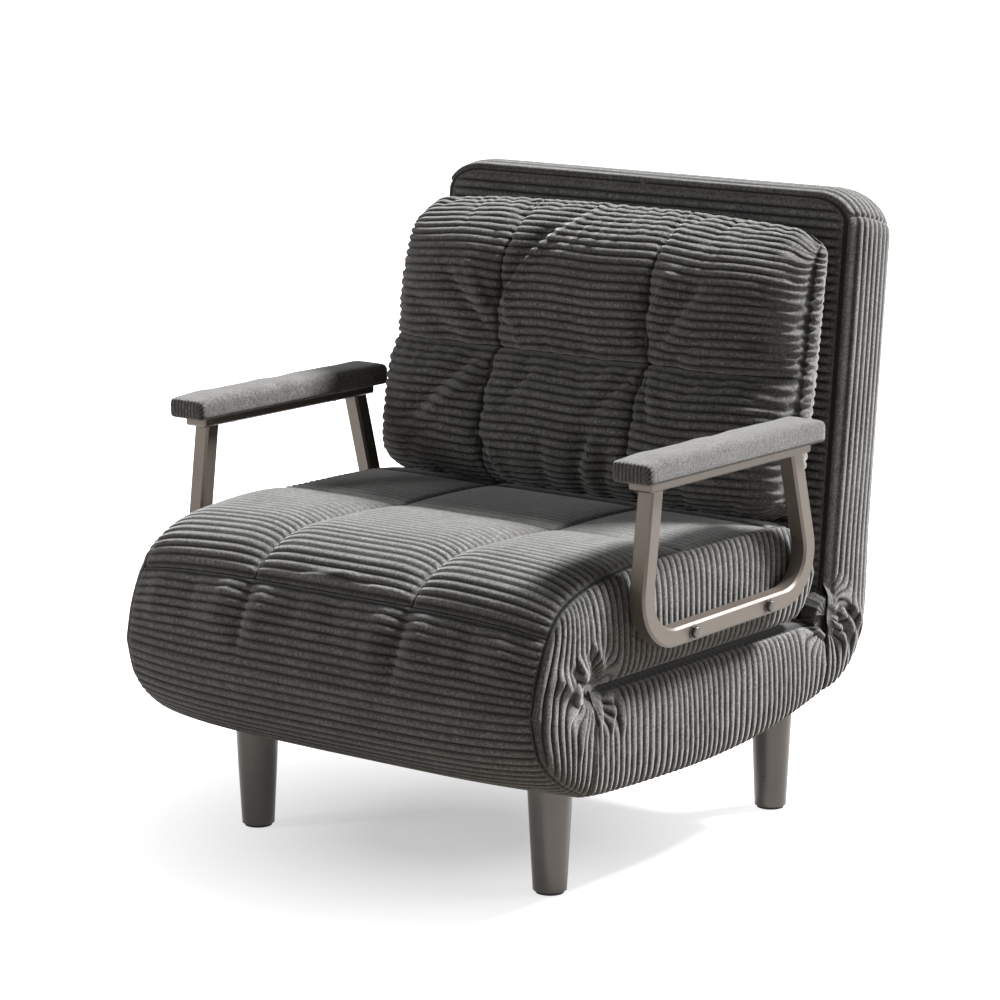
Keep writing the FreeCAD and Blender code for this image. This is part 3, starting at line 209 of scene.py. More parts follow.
@dataclass(frozen=True)
class Pleat:
    """A curved pleat from its start past a bend to its end, with its width and height in metres."""

    start: Spot
    bend: Spot
    end: Spot
    width: float
    height: float

    def relief(self, first: Grid, second: Grid) -> Grid:
        """Height of the pleat.

        Args:
            first: First panel coordinate.
            second: Second panel coordinate.

        Returns:
            Height at each place, less towards both ends.
        """
        run = np.linspace(0.0, 1.0, 49)[:, None]
        start, bend, end = (np.array(place) for place in (self.start, self.bend, self.end))
        line = (1.0 - run) ** 2 * start + 2.0 * run * (1.0 - run) * bend + run ** 2 * end
        nearest = np.full(np.broadcast(first, second).shape, np.inf)
        part = np.zeros_like(nearest)
        for place, (x, y) in zip(run[:, 0], line):
            gap = np.hypot(first - x, second - y)
            closer = gap < nearest
            nearest = np.where(closer, gap, nearest)
            part = np.where(closer, place, part)
        taper = smooth_step(part / 0.30 + 0.25) * smooth_step((1.0 - part) / 0.45)
        return self.height * taper * np.exp(-((nearest / self.width) ** 1.6))


def fold_relief(folds: Sequence[Fold | Pleat], first: Grid, second: Grid) -> Grid:
    """Summed height of several folds."""
    total = np.zeros(np.broadcast(first, second).shape)
    for fold in folds:
        total = total + fold.relief(first, second)
    return total


@dataclass(frozen=True)
class Ribs:
    """The wide-wale cloth: rounded ribs with narrow grooves."""

    pitch: float = 0.0117
    depth: float = 0.0029
    roundness: float = 2.8

    def relief(self, across: Grid) -> Grid:
        """Height of the ribs at places measured across them."""
        part = np.abs(2.0 * np.mod(across / self.pitch, 1.0) - 1.0)
        return self.depth * (1.0 - part ** self.roundness)


@dataclass
class Panel:
    """A cloth panel: a grid of points, with how far each lies across the ribs and along them."""

    points: Grid
    across: Grid
    along: Grid
    # fade sets how strong the ribs are; a negative fade paints shade on the cloth.
    fade: Grid | float = 1.0
    flip: bool = False
    # Points on sewn lines, which get painted shade.
    seam_shaded: Grid | bool = False

    def normals(self) -> Grid:
        """Outward direction at each point.

        Returns:
            A grid of unit vectors.
        """
        down = np.gradient(self.points, axis=0)
        side = np.gradient(self.points, axis=1)
        cross = np.cross(side, down) if self.flip else np.cross(down, side)
        size = np.linalg.norm(cross, axis=2, keepdims=True)
        return cross / np.maximum(size, 1e-12)

    def raised(self, height: Grid) -> "Panel":
        """The panel with its points moved outwards by the height."""
        self.points = self.points + self.normals() * height[..., None]
        return self

    def ribbed(self, ribs: Ribs) -> "Panel":
        """The panel with its ribs, which fade where it is sewn."""
        return self.raised(ribs.relief(self.across) * self.fade)


def edge_fade(rows: Grid | None, columns: Grid | None, reach: float) -> Grid:
    """Fades from 0 at a panel's edges to 1 inside it.

    Args:
        rows: Distance of each row from the nearer sewn edge, or None where no row edge is sewn.
        columns: The same for the columns.
        reach: Distance over which the ribs come up.

    Returns:
        A grid of factors.
    """
    first = np.ones(1) if rows is None else smooth_step(rows / reach)
    second = np.ones(1) if columns is None else smooth_step(columns / reach)
    return first[:, None] * second[None, :]


def from_edges(places: Grid) -> Grid:
    """Distance of each place from the nearer end of its row."""
    run = places - places[0]
    return np.minimum(np.abs(run), np.abs(run[-1] - run))


# Rib strength per point, from 0 to 1; below 0 it paints shade on the cloth.
RIB_DEPTH = "rib_depth"
# Rib value at sewn points: the darkest painted shade.
SEAM_SHADE = -1.0


def sewn(name: str, panels: Sequence[Panel]) -> Thing:
    """Sews panels into one closed cover.

    Args:
        name: Name of the piece.
        panels: Its panels, whose edges meet.

    Returns:
        The new object, at the origin.
    """
    shape = bmesh.new()
    cloth = shape.loops.layers.uv.new("cloth")
    depth = shape.verts.layers.float.new(RIB_DEPTH)
    for panel in panels:
        rows, columns, _ = panel.points.shape
        corners = [shape.verts.new(point) for point in panel.points.reshape(-1, 3)]
        shares = np.broadcast_to(panel.fade, (rows, columns)).copy()
        # Points on sewn lines and every panel's first and last column get the seam value, which paints shade
        # along the seams.
        shares[np.broadcast_to(panel.seam_shaded, (rows, columns))] = SEAM_SHADE
        shares[:, [0, -1]] = SEAM_SHADE
        for corner, share in zip(corners, shares.reshape(-1)):
            corner[depth] = float(share)
        across = np.broadcast_to(panel.across, (rows, columns))
        along = np.broadcast_to(panel.along, (rows, columns))
        for row in range(rows - 1):
            for column in range(columns - 1):
                ring = [(row, column), (row + 1, column), (row + 1, column + 1), (row, column + 1)]
                if panel.flip:
                    ring.reverse()
                face = shape.faces.new([corners[r * columns + c] for r, c in ring])
                face.smooth = True
                for loop, (r, c) in zip(face.loops, ring):
                    loop[cloth].uv = (along[r, c], across[r, c])
    bmesh.ops.remove_doubles(shape, verts=shape.verts, dist=0.00004)
    mesh = bpy.data.meshes.new(name)
    shape.to_mesh(mesh)
    shape.free()
    piece = bpy.data.objects.new(name, mesh)
    bpy.context.scene.collection.objects.link(piece)
    return piece


def picks(count: int, step: int) -> Grid:
    """Every few places of a row, always with both of its ends."""
    return np.unique(np.round(np.linspace(0, count - 1, max(2, round(count / step)))).astype(int))


@dataclass(frozen=True)
class Stuffing:
    """Blows a cover up on a coarse copy of its panels, with the seams held, by cloth simulation."""

    pressure: float = 4.0
    growth: float = 0.03
    frames: int = 20
    cap: float = 0.008
    step: int = 3
    stiffness: float = 15.0
    bending: float = 0.5

    def settle(self, panels: Sequence[Panel], held: Sequence[Grid]) -> None:
        """Moves the panels' points as the simulation does.

        Args:
            panels: The panels of a closed cover, before their ribs.
            held: For each panel, which of its points are sewn down.
        """
        corners: dict[tuple[int, ...], int] = {}
        places, faces, sewn_down, grids = [], [], set(), []
        for panel, hold in zip(panels, held):
            rows = picks(panel.points.shape[0], self.step)
            columns = picks(panel.points.shape[1], 1)
            grid = np.zeros((len(rows), len(columns)), int)
            for i, row in enumerate(rows):
                for j, column in enumerate(columns):
                    point = panel.points[row, column]
                    key = tuple(np.round(point / 0.0002).astype(int))
                    if key not in corners:
                        corners[key] = len(places)
                        places.append(point)
                    grid[i, j] = corners[key]
                    near = slice(max(0, row - self.step // 2), row + self.step // 2 + 1)
                    if np.any(hold[near, column]):
                        sewn_down.add(corners[key])
            for i in range(len(rows) - 1):
                for j in range(len(columns) - 1):
                    ring = [grid[i, j], grid[i + 1, j], grid[i + 1, j + 1], grid[i, j + 1]]
                    ring = ring[::-1] if panel.flip else ring
                    if len(set(ring)) == 4:
                        faces.append(ring)
            grids.append((rows, columns, grid))
        before = np.array(places)
        after = self.blown(before, faces, sorted(sewn_down))
        shift = after - before
        size = np.linalg.norm(shift, axis=1, keepdims=True)
        shift = shift * np.minimum(1.0, self.cap / np.maximum(size, 1e-9))
        for panel, (rows, columns, grid) in zip(panels, grids):
            panel.points = panel.points + self.spread(shift[grid], rows, columns, panel.points.shape)

    def spread(self, shift: Grid, rows: Grid, columns: Grid, shape: tuple[int, ...]) -> Grid:
        """The coarse shifts at every point of the full panel.

        Args:
            shift: Shift of each coarse point.
            rows: Row numbers of the coarse points.
            columns: Column numbers of the coarse points.
            shape: Shape of the full panel.

        Returns:
            A shift for each point of the panel.
        """
        every_row = np.arange(shape[0])
        every_column = np.arange(shape[1])
        axes = []
        for axis in np.moveaxis(shift, 2, 0):
            tall = np.stack([np.interp(every_row, rows, column) for column in axis.T], 1)
            axes.append(np.stack([np.interp(every_column, columns, row) for row in tall], 0))
        return np.stack(axes, 2)

    def blown(self, places: Grid, faces: list[list[int]], held: list[int]) -> Grid:
        """The points after the simulation.

        Args:
            places: Points of the coarse cover.
            faces: Its faces, wound outwards.
            held: Numbers of the points that stay put.

        Returns:
            The moved points.
        """
        mesh = bpy.data.meshes.new("stuffing")
        mesh.from_pydata([tuple(place) for place in places], [], faces)
        piece = bpy.data.objects.new("stuffing", mesh)
        scene = bpy.context.scene
        scene.collection.objects.link(piece)
        group = piece.vertex_groups.new(name="held")
        group.add([int(number) for number in held], 1.0, "REPLACE")
        cloth = piece.modifiers.new("cloth", "CLOTH")
        settings = cloth.settings
        settings.quality = 5
        settings.mass = 0.3
        settings.use_pressure = True
        settings.uniform_pressure_force = self.pressure
        settings.effector_weights.gravity = 0.0
        settings.tension_stiffness = self.stiffness
        settings.compression_stiffness = self.stiffness
        settings.bending_stiffness = self.bending
        settings.shrink_min = -self.growth
        settings.vertex_group_mass = "held"
        settings.pin_stiffness = 5.0
        for number in range(1, self.frames + 1):
            scene.frame_set(number)
        shaped = piece.evaluated_get(bpy.context.evaluated_depsgraph_get()).to_mesh()
        flat = np.empty(len(places) * 3)
        shaped.vertices.foreach_get("co", flat)
        bpy.data.objects.remove(piece)
        bpy.data.meshes.remove(mesh)
        scene.frame_set(1)
        return flat.reshape(-1, 3)


def mirrored(panel: Panel) -> Panel:
    """The same panel on the other side of the chair."""
    points = panel.points * np.array([-1.0, 1.0, 1.0])
    return Panel(points, panel.across, panel.along, panel.fade, not panel.flip)


def select_only(piece: Thing) -> None:
    """Makes the piece the only selected and the active one."""
    bpy.ops.object.select_all(action="DESELECT")
    piece.select_set(True)
    bpy.context.view_layer.objects.active = piece


# Finishes


class Nodes:
    """Short ways to add and join the nodes of one material or node group."""

    def __init__(self, tree: bpy.types.NodeTree) -> None:
        """Keeps the node tree that the nodes go into."""
        self.tree = tree

    def add(self, kind: str, **settings: object) -> Node:
        """A new node with its settings; names in capitals are set on its inputs."""
        node = self.tree.nodes.new(kind)
        for key, value in settings.items():
            setattr(node, key, value)
        return node

    def join(self, source: Socket, target: Socket) -> None:
        """Links an output to an input."""
        self.tree.links.new(source, target)

    def maths(self, way: str, *values: Socket | float) -> Socket:
        """A Math node over sockets and plain numbers.

        Args:
            way: The sum that the node does.
            *values: Its inputs.

        Returns:
            The result.
        """
        node = self.add("ShaderNodeMath", operation=way)
        for number, value in enumerate(values):
            if isinstance(value, Socket):
                self.join(value, node.inputs[number])
            else:
                node.inputs[number].default_value = value
        return node.outputs[0]

    def noise(self, where: Socket, scale: float, detail: float = 4.0, rough: float = 0.55) -> Socket:
        """A noise value over the given coordinates."""
        node = self.add("ShaderNodeTexNoise")
        node.inputs["Scale"].default_value = scale
        node.inputs["Detail"].default_value = detail
        node.inputs["Roughness"].default_value = rough
        self.join(where, node.inputs["Vector"])
        return node.outputs["Fac"]

    def mixed(self, factor: Socket | float, first: object, second: object) -> Socket:
        """A colour mix between two colours or sockets."""
        node = self.add("ShaderNodeMix", data_type="RGBA")
        for socket, value in ((node.inputs[0], factor), (node.inputs[6], first), (node.inputs[7], second)):
            if isinstance(value, Socket):
                self.join(value, socket)
            else:
                socket.default_value = value
        return node.outputs[2]

    def ranged(self, value: Socket, low: float, high: float, out_low: float, out_high: float) -> Socket:
        """A value brought from one range to another and held there."""
        node = self.add("ShaderNodeMapRange")
        self.join(value, node.inputs["Value"])
        for key, number in (("From Min", low), ("From Max", high), ("To Min", out_low), ("To Max", out_high)):
            node.inputs[key].default_value = number
        return node.outputs["Result"]


def new_group(
    name: str, inputs: Sequence[tuple[str, str]], outputs: Sequence[tuple[str, str]]
) -> tuple[bpy.types.NodeTree, Node, Node]:
    """A shader node group with named sockets.

    Args:
        name: Name of the group.
        inputs: Name and socket type of each input.
        outputs: Name and socket type of each output.

    Returns:
        The group, its input node and its output node.
    """
    tree = bpy.data.node_groups.new(name, "ShaderNodeTree")
    for label, kind in inputs:
        tree.interface.new_socket(label, in_out="INPUT", socket_type=kind)
    for label, kind in outputs:
        tree.interface.new_socket(label, in_out="OUTPUT", socket_type=kind)
    return tree, tree.nodes.new("NodeGroupInput"), tree.nodes.new("NodeGroupOutput")


FLOAT = "NodeSocketFloat"
COLOUR = "NodeSocketColor"
VECTOR = "NodeSocketVector"


def pile_group() -> bpy.types.NodeTree:
    """The ribbed pile of every cloth: colour, roughness and height from the cloth's own coordinates, with
    painted shade in the rib grooves and at seams and a painted highlight on the rib crests.
    """
    tree, source, target = new_group(
        "ribbed_pile",
        [
            ("Cloth", VECTOR), ("Place", VECTOR), ("Colour", COLOUR),
            ("Pitch", FLOAT), ("Rib Height", FLOAT), ("Ribs", FLOAT),
        ],
        [("Colour", COLOUR), ("Roughness", FLOAT), ("Height", FLOAT)],
    )
    kit = Nodes(tree)
    parts = kit.add("ShaderNodeSeparateXYZ")
    kit.join(source.outputs["Cloth"], parts.inputs[0])
    turns = kit.maths("DIVIDE", parts.outputs["Y"], source.outputs["Pitch"])
    turned = kit.maths("MULTIPLY", kit.maths("FRACT", turns), 2.0)
    part = kit.maths("ABSOLUTE", kit.maths("SUBTRACT", turned, 1.0))
    ribs = kit.maths("MAXIMUM", source.outputs["Ribs"], 0.0)
    # A negative rib value paints shade: along sewn seams, on the base's top edges and on the hinge gussets.
    painted_shade = kit.maths("MAXIMUM", kit.maths("MULTIPLY", source.outputs["Ribs"], -1.0), 0.0)
    groove = kit.maths("MULTIPLY", kit.maths("POWER", part, 3.6), ribs)
    crown = kit.maths("MULTIPLY", kit.maths("SUBTRACT", 1.0, kit.maths("POWER", part, 3.2)), ribs)
    fuzz = kit.noise(source.outputs["Place"], 640.0, 2.0, 0.7)
    tuft = kit.noise(source.outputs["Place"], 260.0, 3.0, 0.6)
    cloud = kit.noise(source.outputs["Place"], 14.0, 4.0, 0.6)
    worn = kit.noise(source.outputs["Place"], 55.0, 3.0, 0.6)
    clouded = kit.ranged(cloud, 0.3, 0.7, 0.86, 1.14)
    level = kit.maths("MULTIPLY", clouded, kit.ranged(worn, 0.3, 0.7, 0.9, 1.12))
    level = kit.maths("MULTIPLY", level, kit.ranged(tuft, 0.34, 0.66, 0.60, 1.46))
    level = kit.maths("MULTIPLY", level, kit.ranged(fuzz, 0.36, 0.64, 0.58, 1.50))
    # Painted shade: the grooves between the ribs are darkened down to 3 % of the colour.
    level = kit.maths("MULTIPLY", level, kit.ranged(groove, 0.0, 0.9, 1.04, 0.03))
    # Painted highlight and shade: the rib crests are lightened by up to 45 % and their flanks darkened.
    rib_light_and_shade = kit.maths("SUBTRACT", 0.45, kit.maths("MULTIPLY", kit.maths("POWER", part, 1.4), 1.02))
    level = kit.maths("MULTIPLY", level, kit.maths("ADD", kit.maths("MULTIPLY", rib_light_and_shade, ribs), 1.0))
    # Painted shade: the colour is darkened down to 6 % where the rib value is -0.45 or lower.
    level = kit.maths("MULTIPLY", level, kit.ranged(painted_shade, 0.0, 0.45, 1.0, 0.06))
    shade = kit.add("ShaderNodeVectorMath", operation="SCALE")
    kit.join(source.outputs["Colour"], shade.inputs[0])
    kit.join(level, shade.inputs["Scale"])
    kit.join(shade.outputs[0], target.inputs["Colour"])
    kit.join(kit.ranged(tuft, 0.3, 0.7, 0.82, 0.98), target.inputs["Roughness"])
    height = kit.maths("MULTIPLY", crown, source.outputs["Rib Height"])
    height = kit.maths("ADD", height, kit.maths("MULTIPLY", fuzz, 0.30))
    height = kit.maths("ADD", height, kit.maths("MULTIPLY", tuft, 0.35))
    kit.join(height, target.inputs["Height"])
    return tree


def wear_group() -> bpy.types.NodeTree:
    """Brushed and handled metal, shared by every metal piece: colour, roughness and height."""
    tree, source, target = new_group(
        "handled_metal",
        [("Place", VECTOR), ("Colour", COLOUR), ("Roughness", FLOAT)],
        [("Colour", COLOUR), ("Roughness", FLOAT), ("Height", FLOAT)],
    )
    kit = Nodes(tree)
    cloud = kit.noise(source.outputs["Place"], 18.0, 4.0, 0.6)
    grain = kit.noise(source.outputs["Place"], 700.0, 2.0, 0.6)
    clouded = kit.ranged(cloud, 0.3, 0.7, 0.92, 1.08)
    level = kit.maths("MULTIPLY", clouded, kit.ranged(grain, 0.3, 0.7, 0.95, 1.05))
    shade = kit.add("ShaderNodeVectorMath", operation="SCALE")
    kit.join(source.outputs["Colour"], shade.inputs[0])
    kit.join(level, shade.inputs["Scale"])
    kit.join(shade.outputs[0], target.inputs["Colour"])
    rough = kit.maths("ADD", source.outputs["Roughness"], kit.ranged(cloud, 0.3, 0.7, -0.04, 0.05))
    kit.join(rough, target.inputs["Roughness"])
    kit.join(grain, target.inputs["Height"])
    return tree


@dataclass(frozen=True)
class Cloth:
    """A ribbed pile cloth."""

    name: str
    colour: Place
    pitch: float = 0.0117
    rib_height: float = 0.3
    bump: float = 0.0009
    sheen: float = 0.5

    def material(self, pile: bpy.types.NodeTree) -> bpy.types.Material:
        """Builds the cloth.

        Args:
            pile: The shared pile group.

        Returns:
            The material, on the cloth's own coordinates.
        """
        material = bpy.data.materials.new(self.name)
        material.use_nodes = True
        kit = Nodes(material.node_tree)
        shader = material.node_tree.nodes["Principled BSDF"]
        group = kit.add("ShaderNodeGroup", node_tree=pile)
        cloth = kit.add("ShaderNodeUVMap", uv_map="cloth")
        place = kit.add("ShaderNodeTexCoord")
        kit.join(cloth.outputs["UV"], group.inputs["Cloth"])
        kit.join(place.outputs["Object"], group.inputs["Place"])
        ribs = kit.add("ShaderNodeAttribute", attribute_name=RIB_DEPTH)
        kit.join(ribs.outputs["Fac"], group.inputs["Ribs"])
        group.inputs["Colour"].default_value = (*self.colour, 1.0)
        group.inputs["Pitch"].default_value = self.pitch
        group.inputs["Rib Height"].default_value = self.rib_height
        bump = kit.add("ShaderNodeBump")
        bump.inputs["Strength"].default_value = 1.0
        bump.inputs["Distance"].default_value = self.bump
        kit.join(group.outputs["Height"], bump.inputs["Height"])
        kit.join(group.outputs["Colour"], shader.inputs["Base Color"])
        kit.join(group.outputs["Roughness"], shader.inputs["Roughness"])
        kit.join(bump.outputs["Normal"], shader.inputs["Normal"])
        shader.inputs["Specular IOR Level"].default_value = 0.25
        shader.inputs["Sheen Weight"].default_value = self.sheen
        shader.inputs["Sheen Roughness"].default_value = 0.45
        return material


@dataclass(frozen=True)
class Metal:
    """A painted or bare metal."""

    name: str
    colour: Place
    metallic: float
    roughness: float
    bump: float = 0.00005

    def material(self, wear: bpy.types.NodeTree) -> bpy.types.Material:
        """Builds the metal.

        Args:
            wear: The shared wear group.

        Returns:
            The material, on Object coordinates.
        """
        material = bpy.data.materials.new(self.name)
        material.use_nodes = True
        kit = Nodes(material.node_tree)
        shader = material.node_tree.nodes["Principled BSDF"]
        group = kit.add("ShaderNodeGroup", node_tree=wear)
        place = kit.add("ShaderNodeTexCoord")
        kit.join(place.outputs["Object"], group.inputs["Place"])
        group.inputs["Colour"].default_value = (*self.colour, 1.0)
        group.inputs["Roughness"].default_value = self.roughness
        bump = kit.add("ShaderNodeBump")
        bump.inputs["Strength"].default_value = 0.6
        bump.inputs["Distance"].default_value = self.bump
        kit.join(group.outputs["Height"], bump.inputs["Height"])
        kit.join(group.outputs["Colour"], shader.inputs["Base Color"])
        kit.join(group.outputs["Roughness"], shader.inputs["Roughness"])
        kit.join(bump.outputs["Normal"], shader.inputs["Normal"])
        shader.inputs["Metallic"].default_value = self.metallic
        return material


@dataclass(frozen=True)
class Plain:
    """Foam, webbing, plywood and plastic, with a grain stretched along one direction."""

    name: str
    colour: Place
    dark: Place
    stretch: Place
    scale: float
    roughness: float
    bump: float = 0.0003

    def material(self) -> bpy.types.Material:
        """Builds the material on Object coordinates.

        Returns:
            The material.
        """
        material = bpy.data.materials.new(self.name)
        material.use_nodes = True
        kit = Nodes(material.node_tree)
        shader = material.node_tree.nodes["Principled BSDF"]
        place = kit.add("ShaderNodeTexCoord")
        turned = kit.add("ShaderNodeMapping")
        turned.inputs["Scale"].default_value = self.stretch
        kit.join(place.outputs["Object"], turned.inputs["Vector"])
        grain = kit.noise(turned.outputs[0], self.scale, 5.0, 0.62)
        factor = kit.ranged(grain, 0.3, 0.7, 0.0, 1.0)
        kit.join(kit.mixed(factor, (*self.dark, 1.0), (*self.colour, 1.0)), shader.inputs["Base Color"])
        bump = kit.add("ShaderNodeBump")
        bump.inputs["Distance"].default_value = self.bump
        kit.join(grain, bump.inputs["Height"])
        kit.join(bump.outputs["Normal"], shader.inputs["Normal"])
        shader.inputs["Roughness"].default_value = self.roughness
        return material


class Finishes:
    """Every finish of the chair bed, built once."""

    def __init__(self) -> None:
        """Builds the shared groups and the materials."""
        pile = pile_group()
        wear = wear_group()
        self.corduroy = Cloth("wide_corduroy", (0.112, 0.110, 0.105)).material(pile)
        arm_cloth = Cloth("arm_pad_cloth", (0.098, 0.095, 0.091), 0.0056, 1.0, 0.0007, 0.6)
        self.arm_cloth = arm_cloth.material(pile)
        self.arm_metal = Metal("gunmetal_arm", (0.142, 0.120, 0.101), 0.5, 0.42).material(wear)
        self.leg_metal = Metal("gunmetal_leg", (0.078, 0.069, 0.061), 0.6, 0.30).material(wear)
        self.frame_metal = Metal("black_frame", (0.03, 0.03, 0.031), 0.2, 0.5).material(wear)
        self.fixings = Metal("dark_fixings", (0.11, 0.1, 0.092), 0.85, 0.34).material(wear)
        glide = Plain("glide_rubber", (0.02, 0.02, 0.02), (0.014, 0.014, 0.014), (1, 1, 1), 300.0, 0.7)
        plastic = Plain("black_plastic", (0.03, 0.03, 0.03), (0.022, 0.022, 0.022), (1, 1, 1), 400.0, 0.5)
        foam = Plain("foam", (0.78, 0.73, 0.58), (0.68, 0.62, 0.47), (1, 1, 1), 420.0, 0.9, 0.0008)
        plywood = Plain("plywood", (0.58, 0.42, 0.25), (0.42, 0.29, 0.16), (0.12, 1, 1), 60.0, 0.6)
        webbing = Plain("webbing", (0.09, 0.09, 0.09), (0.03, 0.03, 0.03), (0.2, 1, 1), 900.0, 0.85)
        self.glide, self.plastic, self.foam, self.plywood, self.webbing = (
            plain.material() for plain in (glide, plastic, foam, plywood, webbing)
        )


# Upholstery


@dataclass(frozen=True)
class Fabric:
    """How the cloth lies: rib cloth, spacing of the mesh and how far ribs fade at a seam."""

    ribs: Ribs = Ribs()
    row_step: float = 0.00195
    seam_reach: float = 0.0045
    wide: float = 0.0105
    fine: float = 0.0035


def puff(place: Grid, full: float = 2.4, power: float = 0.62) -> Grid:
    """Height of a stuffed cell from one seam, at -1, to the next, at 1."""
    return np.maximum(1.0 - np.abs(place) ** full, 0.0) ** power


def stuffed_edge(distance: Grid, reach: float) -> Grid:
    """Share of the full height at a distance from a sewn seam."""
    share = np.clip(distance / reach, 0.0, 1.0)
    return np.maximum(1.0 - (1.0 - share) ** 2.4, 0.0) ** 0.75


def in_cells(places: Grid, seams: Sequence[float]) -> Grid:
    """Place within each cell between seams, from -1 to 1."""
    result = np.zeros_like(places)
    for low, high in zip(seams[:-1], seams[1:]):
        inside = (places >= low - 1e-9) & (places <= high + 1e-9)
        result = np.where(inside, (places - low) / (high - low) * 2.0 - 1.0, result)
    return result


@dataclass(frozen=True)
class SideBulge:
    """How far a stuffed side panel stands out, by the distance from its nearest seam."""

    height: float = 0.0155
    reach: float = 0.064

    def at(self, distance: Grid) -> Grid:
        """Height at the given distances."""
        share = np.clip(distance / self.reach, 0.0, 1.0)
        return self.height * np.maximum(1.0 - (1.0 - share) ** 2.6, 0.0) ** 0.5


@dataclass(frozen=True)
class Pinch:
    """Cloth drawn in at a crease: a hollow there and the pleats that run into it, placed from the crease."""

    centre: Spot
    folds: tuple[Pleat, ...]
    depth: float = 0.009
    spread: float = 0.02

    def relief(self, first: Grid, second: Grid) -> Grid:
        """Height of the folds and the hollow that they run into."""
        rise = first - self.centre[0]
        side = second - self.centre[1]
        hollow = -self.depth * np.exp(-((np.hypot(rise, side) / self.spread) ** 1.4))
        return hollow + fold_relief(self.folds, rise, side)

    def clear(self, first: Grid, second: Grid) -> Grid:
        """How far the ribs have come up, from none at the crease to full beyond it."""
        radius = np.hypot(first - self.centre[0], second - self.centre[1])
        return smooth_step((radius - 0.010) / 0.016)

    def drawn(self, across: Grid, first: Grid, second: Grid, reach: float = 0.070) -> Grid:
        """Rib coordinate of cloth whose ribs are drawn together at the crease.

        Args:
            across: Rib coordinate of the flat cloth.
            first: First panel coordinate.
            second: Second panel coordinate.
            reach: How far from the crease the ribs start to run together.

        Returns:
            The changed rib coordinate.
        """
        beside = first - self.centre[0]
        radius = np.maximum(np.hypot(beside, second - self.centre[1]), 0.010)
        near = smooth_step((reach - radius) / (reach * 0.65))
        return across + near * beside * (reach / radius - 1.0)


FRONT_FOLDS = (
    Pleat((-0.006, 0.062), (0.004, 0.042), (0.025, 0.012), 0.0058, 0.0050),
    Pleat((-0.012, 0.056), (-0.002, 0.030), (0.016, 0.006), 0.0060, -0.0050),
    Pleat((-0.037, 0.048), (-0.031, 0.026), (0.003, 0.002), 0.0058, 0.0054),
    Pleat((-0.047, 0.038), (-0.034, 0.012), (-0.006, 0.001), 0.0055, -0.0050),
    Pleat((-0.078, 0.034), (-0.048, 0.004), (-0.005, -0.005), 0.0105, 0.0070),
    Pleat((-0.001, -0.005), (-0.020, -0.013), (-0.052, -0.046), 0.0060, -0.0072),
    Pleat((-0.020, -0.032), (-0.031, -0.055), (-0.032, -0.088), 0.0070, 0.0032),
    Pleat((-0.084, 0.030), (-0.090, 0.000), (-0.086, -0.040), 0.0100, 0.0016),
)
LOW_FRONT_FOLDS = (
    Pleat((0.009, -0.005), (0.013, -0.030), (0.004, -0.064), 0.0062, 0.0029),
    Pleat((0.032, -0.005), (0.047, -0.028), (0.020, -0.073), 0.0058, 0.0054),
    Pleat((0.047, -0.010), (0.053, -0.036), (0.032, -0.070), 0.0062, -0.0054),
    Pleat((0.021, -0.007), (0.029, -0.030), (0.012, -0.058), 0.0058, -0.0040),
    Pleat((0.063, -0.016), (0.063, -0.040), (0.048, -0.074), 0.0072, 0.0029),
)
REAR_FOLDS = (
    Pleat((0.000, -0.004), (0.040, -0.018), (0.044, -0.078), 0.0066, 0.0053),
    Pleat((0.004, 0.004), (0.064, -0.004), (0.067, -0.070), 0.0072, 0.0067),
    Pleat((0.024, 0.016), (0.080, 0.002), (0.089, -0.050), 0.0072, 0.0054),
    Pleat((0.010, -0.001), (0.052, -0.014), (0.056, -0.070), 0.0068, -0.0062),
    Pleat((0.028, 0.008), (0.072, -0.003), (0.079, -0.056), 0.0066, -0.0062),
    Pleat((0.003, -0.012), (0.022, -0.026), (0.026, -0.084), 0.0070, -0.0048),
    Pleat((0.010, -0.030), (0.031, -0.050), (0.026, -0.094), 0.0062, 0.0026),
)


def hinge_mound(y: Grid, z: Grid) -> Grid:
    """How far the cloth of the sides stands out over a hinge at the rear crease."""
    radius = np.hypot(y - 0.2317, z - 0.2820)
    return 0.0138 * (1.0 - smooth_step((radius - 0.0215) / 0.030))


